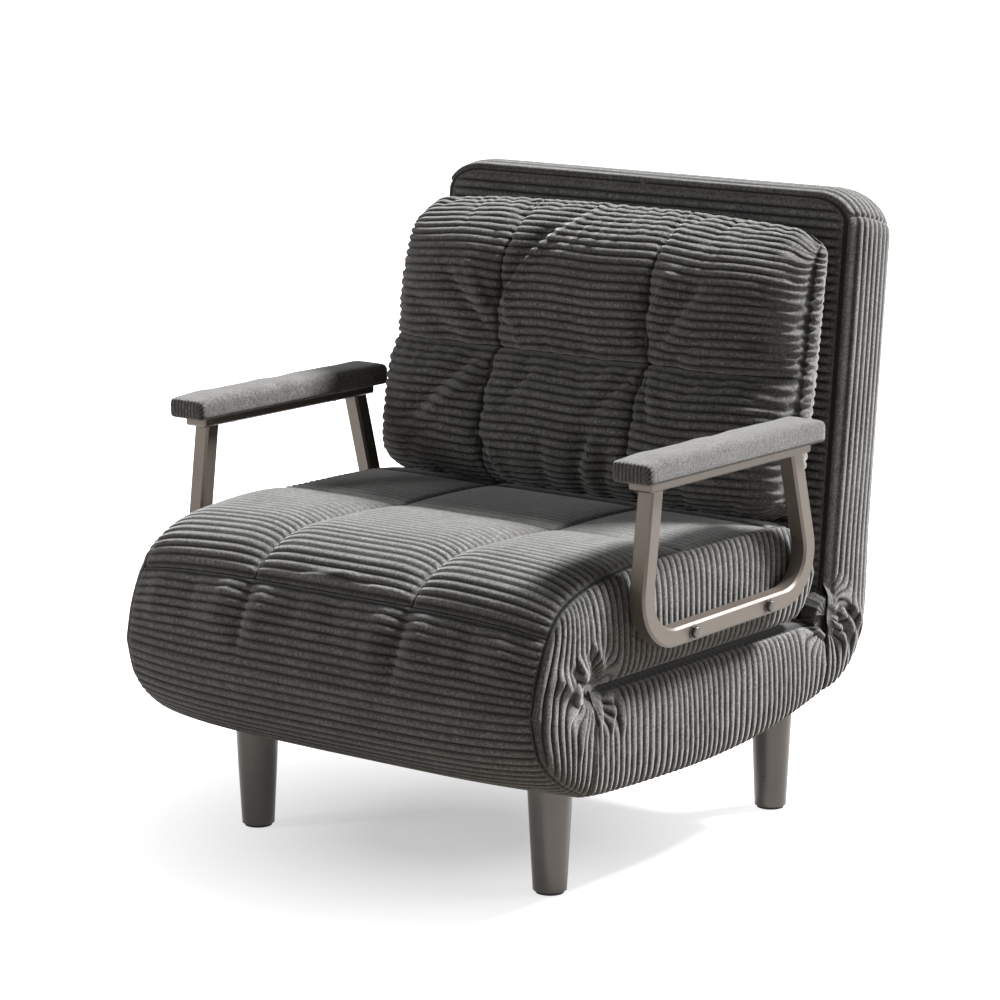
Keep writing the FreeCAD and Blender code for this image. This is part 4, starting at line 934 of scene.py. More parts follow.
@dataclass(frozen=True)
class BaseLayer:
    """The lower layer of the mattress."""

    half_width: float = 0.328
    bulge: SideBulge = SideBulge()
    front: float = -0.2790
    rear: float = 0.2314
    top: float = 0.2795
    side_stations: int = 49
    bottom_line: tuple[Spot, ...] = (
        (-0.2790, 0.1475), (-0.24, 0.1435), (-0.147, 0.1400), (-0.04, 0.1392),
        (0.071, 0.1455), (0.151, 0.158), (0.2314, 0.1765),
    )
    fabric: Fabric = Fabric()
    front_pinch: Pinch = Pinch((-0.279, 0.281), LOW_FRONT_FOLDS, 0.004)
    rear_pinch: Pinch = Pinch((0.2314, 0.282), (), 0.0)

    def build(self) -> Thing:
        """Makes the layer with its top, underside, ends and both side panels.

        Returns:
            The sewn piece.
        """
        fabric = self.fabric
        count = int((self.rear - self.front) / fabric.row_step) + 1
        lengthways = np.linspace(self.front, self.rear, count)
        low = spaced(spline(np.array(self.bottom_line), 20), count)
        low_line = np.interp(lengthways, low[:, 0], low[:, 1])
        middle = smooth_step((lengthways - self.front - 0.004) / 0.030)
        tail = smooth_step((lengthways - self.rear + 0.035) / 0.035)
        top_line = self.top + 0.0012 - 0.0085 * middle - 0.015 * tail ** 2
        columns = stations(-self.half_width, self.half_width, (-0.128, 0.128), fabric.wide, 0.006)
        crown = 1.0 - np.abs(columns / self.half_width) ** 4
        inland = self.half_width - np.abs(columns)
        cell = puff(columns / self.half_width, 6.0, 0.5)
        panels = []
        risen = cell[None, :] * (1 - tail)[:, None]
        top_height = top_line[:, None] + (self.top + 0.0012 - top_line[:, None]) * risen
        top = self.sheet(lengthways, columns, top_height)
        top.flip = True
        # Painted shadow of the seat: the top sheet's outer edge band takes a negative rib value, which darkens
        # it.
        top.fade = top.fade - (top.fade + 0.34) * (1.0 - smooth_step((inland - 0.040) / 0.020))[None, :]
        panels.append(top.ribbed(Ribs(depth=0.0009)))
        sag = 0.004 * crown[None, :] * smooth_step(from_edges(lengthways) / 0.03)[:, None]
        under = self.sheet(lengthways, columns, low_line[:, None] - sag)
        under.flip = False
        panels.append(under.ribbed(fabric.ribs))
        share = np.linspace(0.0, 1.0, self.side_stations)
        side = self.side_panel(lengthways, low_line, top_line, share)
        panels.extend([side, mirrored(side)])
        for end, number, flip in ((self.front, 0, True), (self.rear, -1, False)):
            panels.append(self.end_wall(end, low_line[number], top_line[number], share, columns, flip))
        return sewn("base_layer", panels)

    def sheet(self, lengthways: Grid, columns: Grid, height: Grid) -> Panel:
        """A flat panel across the layer at the given heights."""
        across = np.broadcast_to(lengthways[:, None], height.shape)
        along = np.broadcast_to(columns[None, :], height.shape)
        points = np.stack([along, across, height], axis=2)
        fade = edge_fade(from_edges(lengthways), from_edges(columns), self.fabric.seam_reach)
        return Panel(points, across, along, fade)

    def side_panel(self, lengthways: Grid, low: Grid, high: Grid, share: Grid) -> Panel:
        """The ribbed side panel between the underside and the top.

        Args:
            lengthways: Places along the layer.
            low: Height of its lower seam.
            high: Height of its upper seam.
            share: Places up the panel, 0 to 1.

        Returns:
            The ribbed panel.
        """
        height = low[:, None] + (high - low)[:, None] * share[None, :]
        out = self.bulge.at((high - low)[:, None] * np.minimum(share, 1.0 - share)[None, :])
        across = np.broadcast_to(lengthways[:, None], height.shape)
        gathers = self.front_pinch.relief(across, height)
        inner = np.minimum(share, 1.0 - share) * 2.0
        hold = smooth_step(inner / 0.2)[None, :] * smooth_step(from_edges(lengthways) / 0.004)[:, None]
        out = out + gathers * hold
        out = np.maximum(out, hinge_mound(across, height))
        points = np.stack([self.half_width + out, across, height], axis=2)
        fade = edge_fade(from_edges(lengthways), np.minimum(share, 1 - share) * 0.13, self.fabric.seam_reach)
        lean = 0.004 * np.sin((height - 0.15) * 22.0) + 0.0035 * np.sin(across * 31.0 + height * 9.0)
        drawn = self.front_pinch.drawn(across + lean, across, height)
        drawn = self.rear_pinch.drawn(drawn, across, height)
        fade = fade * self.front_pinch.clear(across, height) * self.rear_pinch.clear(across, height)
        return Panel(points, drawn, height, fade, flip=False).ribbed(self.fabric.ribs)

    def end_wall(
        self, place: float, low: float, high: float, share: Grid, columns: Grid, flip: bool
    ) -> Panel:
        """The hidden wall at an end of the layer, as wide as the side panels there."""
        height = low + (high - low) * share
        width = self.half_width + self.bulge.at((high - low) * np.minimum(share, 1.0 - share))
        across = (columns / self.half_width)[None, :] * width[:, None]
        heights = np.broadcast_to(height[:, None], across.shape)
        points = np.stack([across, np.full_like(across, place), heights], axis=2)
        return Panel(points, points[..., 2], across, 0.0, flip)


@dataclass(frozen=True)
class SeatLayer:
    """The upper layer with the padded roll at its front, sewn in three columns."""

    half_width: float = 0.328
    column: float = 0.128
    cross_seam: float = -0.078
    last_seam: float = 0.114
    crease: Spot = (-0.2793, 0.2838)
    puff_height: float = 0.0150
    rear_puff: float = 0.0075
    side_stations: int = 49
    bulge: SideBulge = SideBulge()
    fabric: Fabric = Fabric()
    # Side seam and middle line together: y and z of each
    lower_roll: tuple[tuple[float, ...], ...] = (
        (-0.2793, 0.1475, -0.2793, 0.1450), (-0.3310, 0.1750, -0.3420, 0.1680),
        (-0.3700, 0.2140, -0.3850, 0.2080),
        (-0.3840, 0.2660, -0.3995, 0.2640),
    )
    upper_roll: tuple[tuple[float, ...], ...] = (
        (-0.3840, 0.2660, -0.3995, 0.2640), (-0.3740, 0.3120, -0.3910, 0.3220),
        (-0.3540, 0.3570, -0.3660, 0.3710),
        (-0.3320, 0.3830, -0.3350, 0.3960), (-0.3060, 0.3970, -0.3060, 0.4090),
        (-0.2793, 0.4050, -0.2793, 0.4150),
    )
    top_line: tuple[tuple[float, ...], ...] = (
        (-0.2793, 0.4050, -0.2793, 0.4150), (-0.2530, 0.4095, -0.2530, 0.4175),
        (-0.1720, 0.4180, -0.1720, 0.4185),
        (-0.0500, 0.4185, -0.0500, 0.4185), (0.0870, 0.4170, 0.0870, 0.4175),
        (0.1400, 0.4130, 0.1400, 0.4140),
        (0.1760, 0.3970, 0.1760, 0.3990), (0.1940, 0.3720, 0.1940, 0.3740),
        (0.1985, 0.3460, 0.1995, 0.3460),
    )
    under_line: tuple[tuple[float, ...], ...] = (
        (0.1985, 0.3460, 0.1995, 0.3460), (0.1940, 0.3180, 0.1950, 0.3170),
        (0.1780, 0.2960, 0.1790, 0.2950),
        (0.1500, 0.2868, 0.1500, 0.2856), (0.0, 0.2850, 0.0, 0.2838), (-0.1400, 0.2846, -0.1400, 0.2838),
        (-0.2793, 0.2838, -0.2793, 0.2838),
    )
    pinch: Pinch = Pinch((-0.2793, 0.2820), FRONT_FOLDS, 0.004)
    roll_folds: tuple[Fold, ...] = (
        Fold((-0.128, 0.004), (-0.132, 0.100), 0.015, -0.0104),
        Fold((0.128, 0.004), (0.120, 0.105), 0.015, -0.0112),
        Fold((-0.158, 0.010), (-0.172, 0.075), 0.017, 0.0067),
        Fold((0.098, 0.010), (0.088, 0.080), 0.018, 0.0070),
        Fold((-0.098, 0.010), (-0.100, 0.078), 0.016, 0.0058),
        Fold((0.156, 0.010), (0.160, 0.078), 0.016, 0.0061),
        Fold((0.020, 0.008), (0.024, 0.070), 0.020, -0.0058),
        Fold((-0.045, 0.008), (-0.050, 0.062), 0.018, -0.0048),
        Fold((-0.225, 0.008), (-0.220, 0.080), 0.018, -0.0058),
        Fold((0.225, 0.008), (0.236, 0.080), 0.018, -0.0058),
        Fold((-0.285, 0.012), (-0.275, 0.075), 0.016, 0.0048),
        Fold((0.272, 0.012), (0.285, 0.080), 0.016, 0.0048),
        Fold((0.030, -0.022), (-0.050, -0.012), 0.006, 0.0048),
        Fold((0.060, -0.010), (0.118, -0.012), 0.006, 0.0042),
    )

    def lines(self) -> dict[str, Grid]:
        """The outline's stretches, sampled so that opposite seams pair up.

        Returns:
            The lower and the upper half of the roll, the top and the underside.
        """
        step = self.fabric.row_step
        roll = int(0.188 / step)
        top = int(0.523 / step)
        counts = {"lower_roll": roll, "upper_roll": roll, "top_line": top, "under_line": top}
        result = {}
        for name, count in counts.items():
            result[name] = spaced(spline(np.array(getattr(self, name)), 16), count)
        return result

    def build(self) -> Thing:
        """Makes the band, the inner wall and the side panels.

        Returns:
            The sewn piece.
        """
        fabric = self.fabric
        lines = self.lines()
        rest = [lines[name][1:] for name in ("upper_roll", "top_line", "under_line")]
        loop = np.concatenate([lines["lower_roll"], *rest])
        column_seams = (-self.column, self.column)
        columns = stations(-self.half_width, self.half_width, column_seams, fabric.wide, fabric.fine)
        share = np.linspace(0.0, 1.0, self.side_stations)
        panels = [self.band(loop, lines, columns), self.inner_wall(columns, share)]
        strip = self.seat_side(lines, share)
        roll = self.roll_side(lines)
        panels.extend([strip, mirrored(strip), roll, mirrored(roll)])
        return sewn("seat_layer", panels)

    def band(self, loop: Grid, lines: dict[str, Grid], columns: Grid) -> Panel:
        """The cloth that runs round the roll, over the seat, down behind it and back underneath."""
        crown = 1.0 - np.abs(columns / self.half_width) ** 4
        place = loop[:, None, :2] + (loop[:, None, 2:] - loop[:, None, :2]) * crown[None, :, None]
        across = np.broadcast_to(columns[None, :], place.shape[:2])
        points = np.stack([across, place[..., 0], place[..., 1]], axis=2)
        run = run_length(loop[:, 2:])
        counts = [len(lines[name]) for name in ("lower_roll", "upper_roll", "top_line")]
        roll_end = counts[0] + counts[1] - 2
        top_end = roll_end + counts[2] - 1
        upper = slice(counts[0] - 1, roll_end + 1)
        seam = float(np.interp(0.3710, loop[upper, 3], run[upper]))
        top = slice(roll_end, top_end + 1)
        rising = loop[top, 2]
        peak = int(np.argmax(rising))
        cross = float(np.interp(self.cross_seam, rising[:peak], run[top][:peak]))
        last = float(np.interp(self.last_seam, rising[:peak], run[top][:peak]))
        rear = float(run[top_end])
        height = np.where((run > seam) & (run < rear + 0.03), self.puff_height, 0.0)
        height = np.where(run > cross, self.rear_puff, height)
        along_gap = np.min(np.abs(run[:, None] - np.array([[seam, cross, last, rear + 0.03]])), axis=1)
        edge_gap = self.half_width - np.abs(columns)
        across_gap = np.minimum(np.abs(np.abs(columns) - self.column), edge_gap)
        edges = stuffed_edge(along_gap, 0.100)[:, None] * stuffed_edge(across_gap, 0.062)[None, :]
        relief = height[:, None] * edges
        front_cell = np.clip((run / seam) * 2.0 - 1.0, -1.0, 1.0)
        front = np.where(run < seam, 0.0055 * puff(front_cell, 4.0, 0.6), 0.0)
        relief = relief + front[:, None] * puff(columns / self.half_width, 5.0, 0.5)[None, :]
        below = (seam - run)[:, None]
        strokes = fold_relief(self.roll_folds, across, np.broadcast_to(below, across.shape))
        relief = relief + strokes * smooth_step(np.abs(below) / 0.006)
        seam_gap = np.min(np.abs(run[:, None] - np.array([[seam, cross, last]])), axis=1)
        column_gap = np.minimum(np.abs(np.abs(columns) - self.column), self.half_width - np.abs(columns))
        column_fade = smooth_step(column_gap / fabric_reach(self.fabric))
        free = smooth_step((self.half_width - np.abs(columns)) / self.fabric.seam_reach)
        sewn_rows = smooth_step(seam_gap / 0.0035)
        quilted = ((run > seam) & (run < rear)).astype(float)
        fade = np.where(quilted[:, None] > 0, column_fade[None, :], free[None, :]) * sewn_rows[:, None]
        press_places = [seam + (cross - seam) * part for part in (0.0, 0.3, 0.5, 0.75, 1.0)]
        pressed = np.interp(run, [*press_places, rear - 0.03, rear], [1.0, 0.95, 0.62, 0.26, 0.16, 0.16, 1.0])
        rib_run = np.broadcast_to(run[:, None], across.shape)
        narrow = np.exp(-((column_gap / 0.0030) ** 2))[None, :] * quilted[:, None]
        narrow = narrow + np.exp(-((seam_gap / 0.0030) ** 2))[:, None]
        relief = relief - 0.0028 * np.minimum(narrow, 1.0) * free[None, :]
        # The sewn rows and columns get painted shade along their seams.
        row_stitch = np.zeros(len(run), bool)
        row_stitch[[int(np.argmin(np.abs(run - place))) for place in (seam, cross, last)]] = True
        row_stitch |= np.abs(run - cross) < self.fabric.row_step
        row_stitch |= np.abs(run - last) < self.fabric.row_step
        column_stitch = (np.abs(np.abs(columns) - self.column) < 1e-6)[None, :] & (quilted > 0)[:, None]
        seam_shaded = row_stitch[:, None] | column_stitch
        panel = Panel(points, rib_run, across, fade * pressed[:, None], True, seam_shaded)
        return panel.raised(relief).ribbed(self.fabric.ribs)

    def inner_wall(self, columns: Grid, share: Grid) -> Panel:
        """The hidden wall between the roll and the lower layer."""
        high, low = self.crease[1], self.lower_roll[0][1]
        height = high + (low - high) * share
        width = self.half_width + self.bulge.at((high - low) * np.minimum(share, 1.0 - share))
        across = (columns / self.half_width)[None, :] * width[:, None]
        crown = 1.0 - np.abs(columns / self.half_width) ** 4
        drop = (self.lower_roll[0][3] - low) * crown[None, :] * smooth_step(share)[:, None]
        points = np.stack([across, np.full_like(across, self.crease[0]), height[:, None] + drop], axis=2)
        return Panel(points, points[..., 2], across, 0.0, True)

    def seat_side(self, lines: dict[str, Grid], share: Grid) -> Panel:
        """The side panel of the seat, between its top and bottom seams."""
        high = lines["top_line"][:, :2]
        low = lines["under_line"][::-1, :2]
        place = low[:, None, :] + (high - low)[:, None, :] * share[None, :, None]
        tall = np.linalg.norm(high - low, axis=1)
        distance = tall[:, None] * np.minimum(share, 1.0 - share)[None, :]
        return self.side_from(place, distance, np.minimum(distance * 2.0, 1.0))

    def roll_side(self, lines: dict[str, Grid]) -> Panel:
        """The side panel of the roll, gathered into the crease."""
        low = lines["lower_roll"][::-1, :2]
        high = lines["upper_roll"][:, :2]
        count = len(low)
        step = np.linspace(0.0, 1.0, count)
        crease = np.array(self.crease)
        middle = (low + high) / 2 * (1 - smooth_step(step))[:, None] + crease * smooth_step(step)[:, None]
        share = np.linspace(0.0, 1.0, self.side_stations)
        lower = low[:, None, :] + (middle - low)[:, None, :] * share[None, :, None]
        upper = middle[:, None, :] + (high - middle)[:, None, :] * share[None, 1:, None]
        place = np.concatenate([lower, upper], axis=1)
        full = np.linspace(-1.0, 1.0, place.shape[1])
        tall = np.linalg.norm(high - low, axis=1)
        bow = tall ** 2 / (8 * 0.135) * (1.0 - step ** 3)
        place[..., 0] -= bow[:, None] * (1.0 - full ** 2)[None, :]
        rim = np.concatenate([low, high])
        flat = place.reshape(-1, 2)
        gaps = np.linalg.norm(flat[:, None, :] - rim[None, :, :], axis=2)
        gap = np.min(gaps, axis=1).reshape(place.shape[:2])
        to_crease = np.hypot(place[..., 0] - crease[0], place[..., 1] - crease[1])
        return self.side_from(place, np.minimum(gap, to_crease), gap)

    def side_from(self, place: Grid, distance: Grid, gap: Grid) -> Panel:
        """A side panel over the given places, with bulge, gathers and ribs.

        Args:
            place: The y and z of each point.
            distance: How far each is from the seam or the crease.
            gap: How far the gathers and ribs see each from its seam.

        Returns:
            The ribbed panel.
        """
        out = self.bulge.at(distance)
        gathers = self.pinch.relief(place[..., 0], place[..., 1]) * smooth_step(gap / 0.02)
        hold = smooth_step(gap / 0.004)
        width = self.half_width + np.maximum(out + gathers * hold, 0.0)
        points = np.stack([width, place[..., 0], place[..., 1]], axis=2)
        ripple = 0.003 * np.sin((place[..., 1] - 0.28) * 26.0 + place[..., 0] * 8.0)
        nested = 4.2 * (place[..., 1] - 0.270) ** 2 * smooth_step((self.crease[0] - place[..., 0]) / 0.10)
        across = self.pinch.drawn(place[..., 0] - nested + ripple, place[..., 0], place[..., 1])
        fade = smooth_step(gap / self.fabric.seam_reach) * self.pinch.clear(place[..., 0], place[..., 1])
        return Panel(points, across, place[..., 1], fade).ribbed(self.fabric.ribs)


def fabric_reach(fabric: Fabric) -> float:
    """Distance over which ribs come up from a sewn column seam."""
    return fabric.seam_reach * 1.4


@dataclass(frozen=True)
class Lean:
    """Places on the backrest, given across, up it and into its depth."""

    crease_y: float = 0.2317
    crease_z: float = 0.2820
    tilt: float = math.radians(5.6)

    def point(self, across: Grid, up: Grid, depth: Grid) -> Grid:
        """The place in the chair's own frame."""
        y = self.crease_y + up * math.sin(self.tilt) + depth * math.cos(self.tilt)
        z = self.crease_z + up * math.cos(self.tilt) - depth * math.sin(self.tilt)
        return np.stack(np.broadcast_arrays(across, y, z), axis=-1)


@dataclass(frozen=True)
class BackLayer:
    """The backrest cover: front and rear panels, the border between them and the padded fold below."""

    half_width: float = 0.328
    top: float = 0.541
    corner: Spot = (0.048, 0.030)
    rear_corner: Spot = (0.058, 0.046)
    rear_inset: float = 0.003
    mitre: float = 26.0
    flat_band: float = 0.0125
    thick: float = 0.1025
    fold_radius: float = 0.1045
    front_puff: float = 0.0075
    rear_puff: float = 0.004
    lean: Lean = Lean()
    bulge: SideBulge = SideBulge(0.0145, 0.05)
    fabric: Fabric = Fabric()
    pinch: Pinch = Pinch((0.2317, 0.2820), REAR_FOLDS, 0.0)

    def outline(self, corner: Spot, inset: float) -> tuple[Grid, Grid, Grid]:
        """Half width, height and outward turn of a face's rows from the bottom to the top.

        Args:
            corner: How far across and how far down the top corners curve.
            inset: How far the face stays inside the backrest's outline.

        Returns:
            Half widths, heights up the backrest and the outward turn, row by row.
        """
        wide, tall = corner
        half, top = self.half_width - inset, self.top - inset
        straight = np.linspace(0.0, top - tall, int(self.top / self.fabric.row_step), endpoint=False)
        turn = np.linspace(0.0, math.pi / 2, 40)
        up = np.concatenate([straight, top - tall + tall * np.sin(turn)])
        width = np.concatenate([np.full_like(straight, half), half - wide + wide * np.cos(turn)])
        eased = self.half_width + (width - self.half_width) * smooth_step(up / 0.12)
        outward = np.arctan2(np.sin(turn) / tall, np.cos(turn) / wide)
        return np.where(up < 0.12, eased, width), up, np.concatenate([np.zeros_like(straight), outward])

    def build(self) -> Thing:
        """Makes the panels and sews them together.

        Returns:
            The sewn piece.
        """
        front = self.outline(self.corner, 0.0)
        back = self.outline(self.rear_corner, self.rear_inset)
        columns = stations(-1.0, 1.0, (), 0.034, 0.012)
        deep = np.linspace(0.0, 1.0, int(self.thick / self.fabric.row_step) + 1)
        sector = np.linspace(0.0, math.pi / 2 - self.lean.tilt, 72)
        panels = [self.face(front[0], front[1], columns, True), self.rear(back[0], back[1], columns, sector)]
        panels.append(self.border(front, back, columns, deep, sector))
        panels.append(self.end_wall(columns, deep))
        return sewn("back_layer", panels)

    def face(self, width: Grid, up: Grid, columns: Grid, flip: bool) -> Panel:
        """The front panel."""
        across = width[:, None] * columns[None, :]
        points = self.lean.point(across, up[:, None], np.zeros_like(across))
        inside = np.minimum((1.0 - np.abs(columns))[None, :] * self.half_width, (self.top - up)[:, None])
        height = self.front_puff * smooth_step(inside / 0.09)
        height = height * smooth_step(up / 0.01)[:, None]
        fade = smooth_step((inside - 0.001) / 0.012)
        runs = np.broadcast_to(up[:, None], across.shape)
        # The top seam row gets painted shade.
        top_seam = (up > self.top - 1e-6)[:, None]
        return Panel(points, runs, across, fade, flip, top_seam).raised(height).ribbed(self.fabric.ribs)

    def rear(self, width: Grid, up: Grid, columns: Grid, sector: Grid) -> Panel:
        """The rear panel and the outside of the fold, in one run up from the lower layer."""
        span = sector[-1]
        radius = self.fold_radius + (self.thick - self.fold_radius) * sector / span
        across_low = np.broadcast_to(self.half_width * columns[None, :], (len(sector), len(columns)))
        y = self.lean.crease_y + radius * np.sin(sector)
        z = self.lean.crease_z - radius * np.cos(sector)
        low = np.stack(np.broadcast_arrays(across_low, y[:, None], z[:, None]), axis=-1)
        across_high = width[:, None] * columns[None, :]
        high = self.lean.point(across_high, up[:, None], np.full_like(across_high, self.thick))
        points = np.concatenate([low, high[1:]])
        across = np.concatenate([across_low, across_high[1:]])
        run = np.concatenate([self.thick * (sector - span), up[1:]])
        below_top = (self.top - np.maximum(run, 0.0))[:, None]
        inside = np.minimum((1.0 - np.abs(columns))[None, :] * self.half_width, below_top)
        height = self.rear_puff * (1.0 - (1.0 - np.clip(inside / 0.06, 0, 1)) ** 2.4) ** 0.5
        height = height * smooth_step((run - run[0]) / 0.02)[:, None]
        fade = smooth_step(inside / self.fabric.seam_reach) * smooth_step((run - run[0]) / 0.004)[:, None]
        runs = np.broadcast_to(run[:, None], across.shape)
        return Panel(points, runs, across, fade).raised(height).ribbed(self.fabric.ribs)

    def border(
        self, front: tuple[Grid, ...], back: tuple[Grid, ...], columns: Grid, deep: Grid, sector: Grid
    ) -> Panel:
        """The border cloth: up one side, round both top corners and down the other, with the fold's sides."""
        sides = [self.border_side(front, back, sector, side) for side in (LEFT, RIGHT)]
        top = []
        for column in columns[::-1][1:-1]:
            start = self.lean.point(front[0][-1] * column, front[1][-1], 0.0)
            finish = self.lean.point(back[0][-1] * column, back[1][-1], self.thick)
            top.append((start, finish, self.out_way(0.0, 1.0), 1.0))
        chain = sides[0] + top + sides[1][::-1]
        origin, end, out = (np.array([item[part] for item in chain]) for part in range(3))
        seam = np.array([item[3] for item in chain])
        points = origin[:, None, :] + (end - origin)[:, None, :] * deep[None, :, None]
        reach = np.linalg.norm(end - origin, axis=1)
        distance = reach[:, None] * np.minimum(deep, 1.0 - deep)[None, :]
        height = self.bulge.at(distance) - 0.0020 * (1.0 - seam)[:, None] * smooth_step(distance / 0.006)
        on_side = np.abs(out[:, None, 0]) > 0.9
        pinch = self.pinch.relief(points[..., 1], points[..., 2]) * on_side
        height = np.maximum(height + pinch * smooth_step(distance / 0.006), 0.0)
        mound = hinge_mound(points[..., 1], points[..., 2]) * on_side
        height = np.maximum(height, mound + np.maximum(pinch, 0.0) * 0.5 * smooth_step(distance / 0.010))
        points = points + out[:, None, :] * height[..., None]
        ends = np.minimum(np.arange(len(chain)), np.arange(len(chain))[::-1]) * 0.004
        sideways = smooth_step((np.abs(out[:, 0]) - 0.80) / 0.15)
        flat_band = smooth_step((reach[:, None] * deep[None, :] - self.flat_band * sideways[:, None]) / 0.002)
        fade = smooth_step(distance / self.fabric.seam_reach) * smooth_step(ends / 0.004)[:, None] * flat_band
        fade = fade * smooth_step(seam / 0.8)[:, None]
        beside = points[..., 1] - self.lean.crease_y
        above = points[..., 2] - self.lean.crease_z
        from_crease = np.hypot(beside, above)
        near = on_side * smooth_step((0.020 - above) / 0.010)
        fade = fade + (smooth_step(distance / 0.004) - fade) * near
        fade = fade * np.where(on_side, smooth_step((from_crease - 0.008) / 0.008), 1.0)
        run = np.broadcast_to(run_length(end)[:, None], height.shape)
        across = reach[:, None] * deep[None, :] + 0.0015 * np.sin(run * 9.0)
        across = np.where(on_side & (above < 0.0), beside, across)
        drawn = self.pinch.drawn(across, points[..., 1], points[..., 2])
        across = np.where(on_side, drawn, across)
        return Panel(points, across, run, fade, True).ribbed(self.fabric.ribs)

    def border_side(
        self, front: tuple[Grid, ...], back: tuple[Grid, ...], sector: Grid, side: float
    ) -> list[tuple]:
        """Front point, rear point, way out and seam factor of one side's rows, up from the fold."""
        span = sector[-1]
        radius = self.fold_radius + (self.thick - self.fold_radius) * sector / span
        origin = np.array([side * self.half_width, self.lean.crease_y, self.lean.crease_z])
        rows = []
        for angle, reach in zip(sector[:-1], radius[:-1]):
            into = np.array([0.0, math.sin(angle), -math.cos(angle)])
            rows.append((origin, origin + into * reach, np.array([side, 0.0, 0.0]), 1.0))
        for width, high, angle, rear_width, rear_high in zip(*front, *back[:2]):
            mitre = 1.0 - math.exp(-(((math.degrees(angle) - self.mitre) / 3.2) ** 2))
            start = self.lean.point(side * width, high, 0.0)
            end = self.lean.point(side * rear_width, rear_high, self.thick)
            rows.append((start, end, self.out_way(side * math.cos(angle), math.sin(angle)), mitre))
        return rows

    def end_wall(self, columns: Grid, deep: Grid) -> Panel:
        """The hidden wall where the fold meets the lower layer."""
        reach = self.fold_radius * deep
        width = self.half_width + self.bulge.at(self.fold_radius * np.minimum(deep, 1.0 - deep))
        across = width[:, None] * columns[None, :]
        y = np.full_like(across, self.lean.crease_y)
        z = np.broadcast_to(self.lean.crease_z - reach[:, None], across.shape)
        points = np.stack([across, y, z], axis=2)
        return Panel(points, points[..., 2], across, 0.0)

    def out_way(self, across: float, up: float) -> Grid:
        """A direction in the plane of the backrest's face."""
        return np.array([across, up * math.sin(self.lean.tilt), up * math.cos(self.lean.tilt)])


def ridge(x: float, up: float, to_x: float, to_up: float, width: float, height: float) -> Fold:
    """A fold of the cushion between two places given across it and up the backrest."""
    return Fold((x, up), (to_x, to_up), width, height)


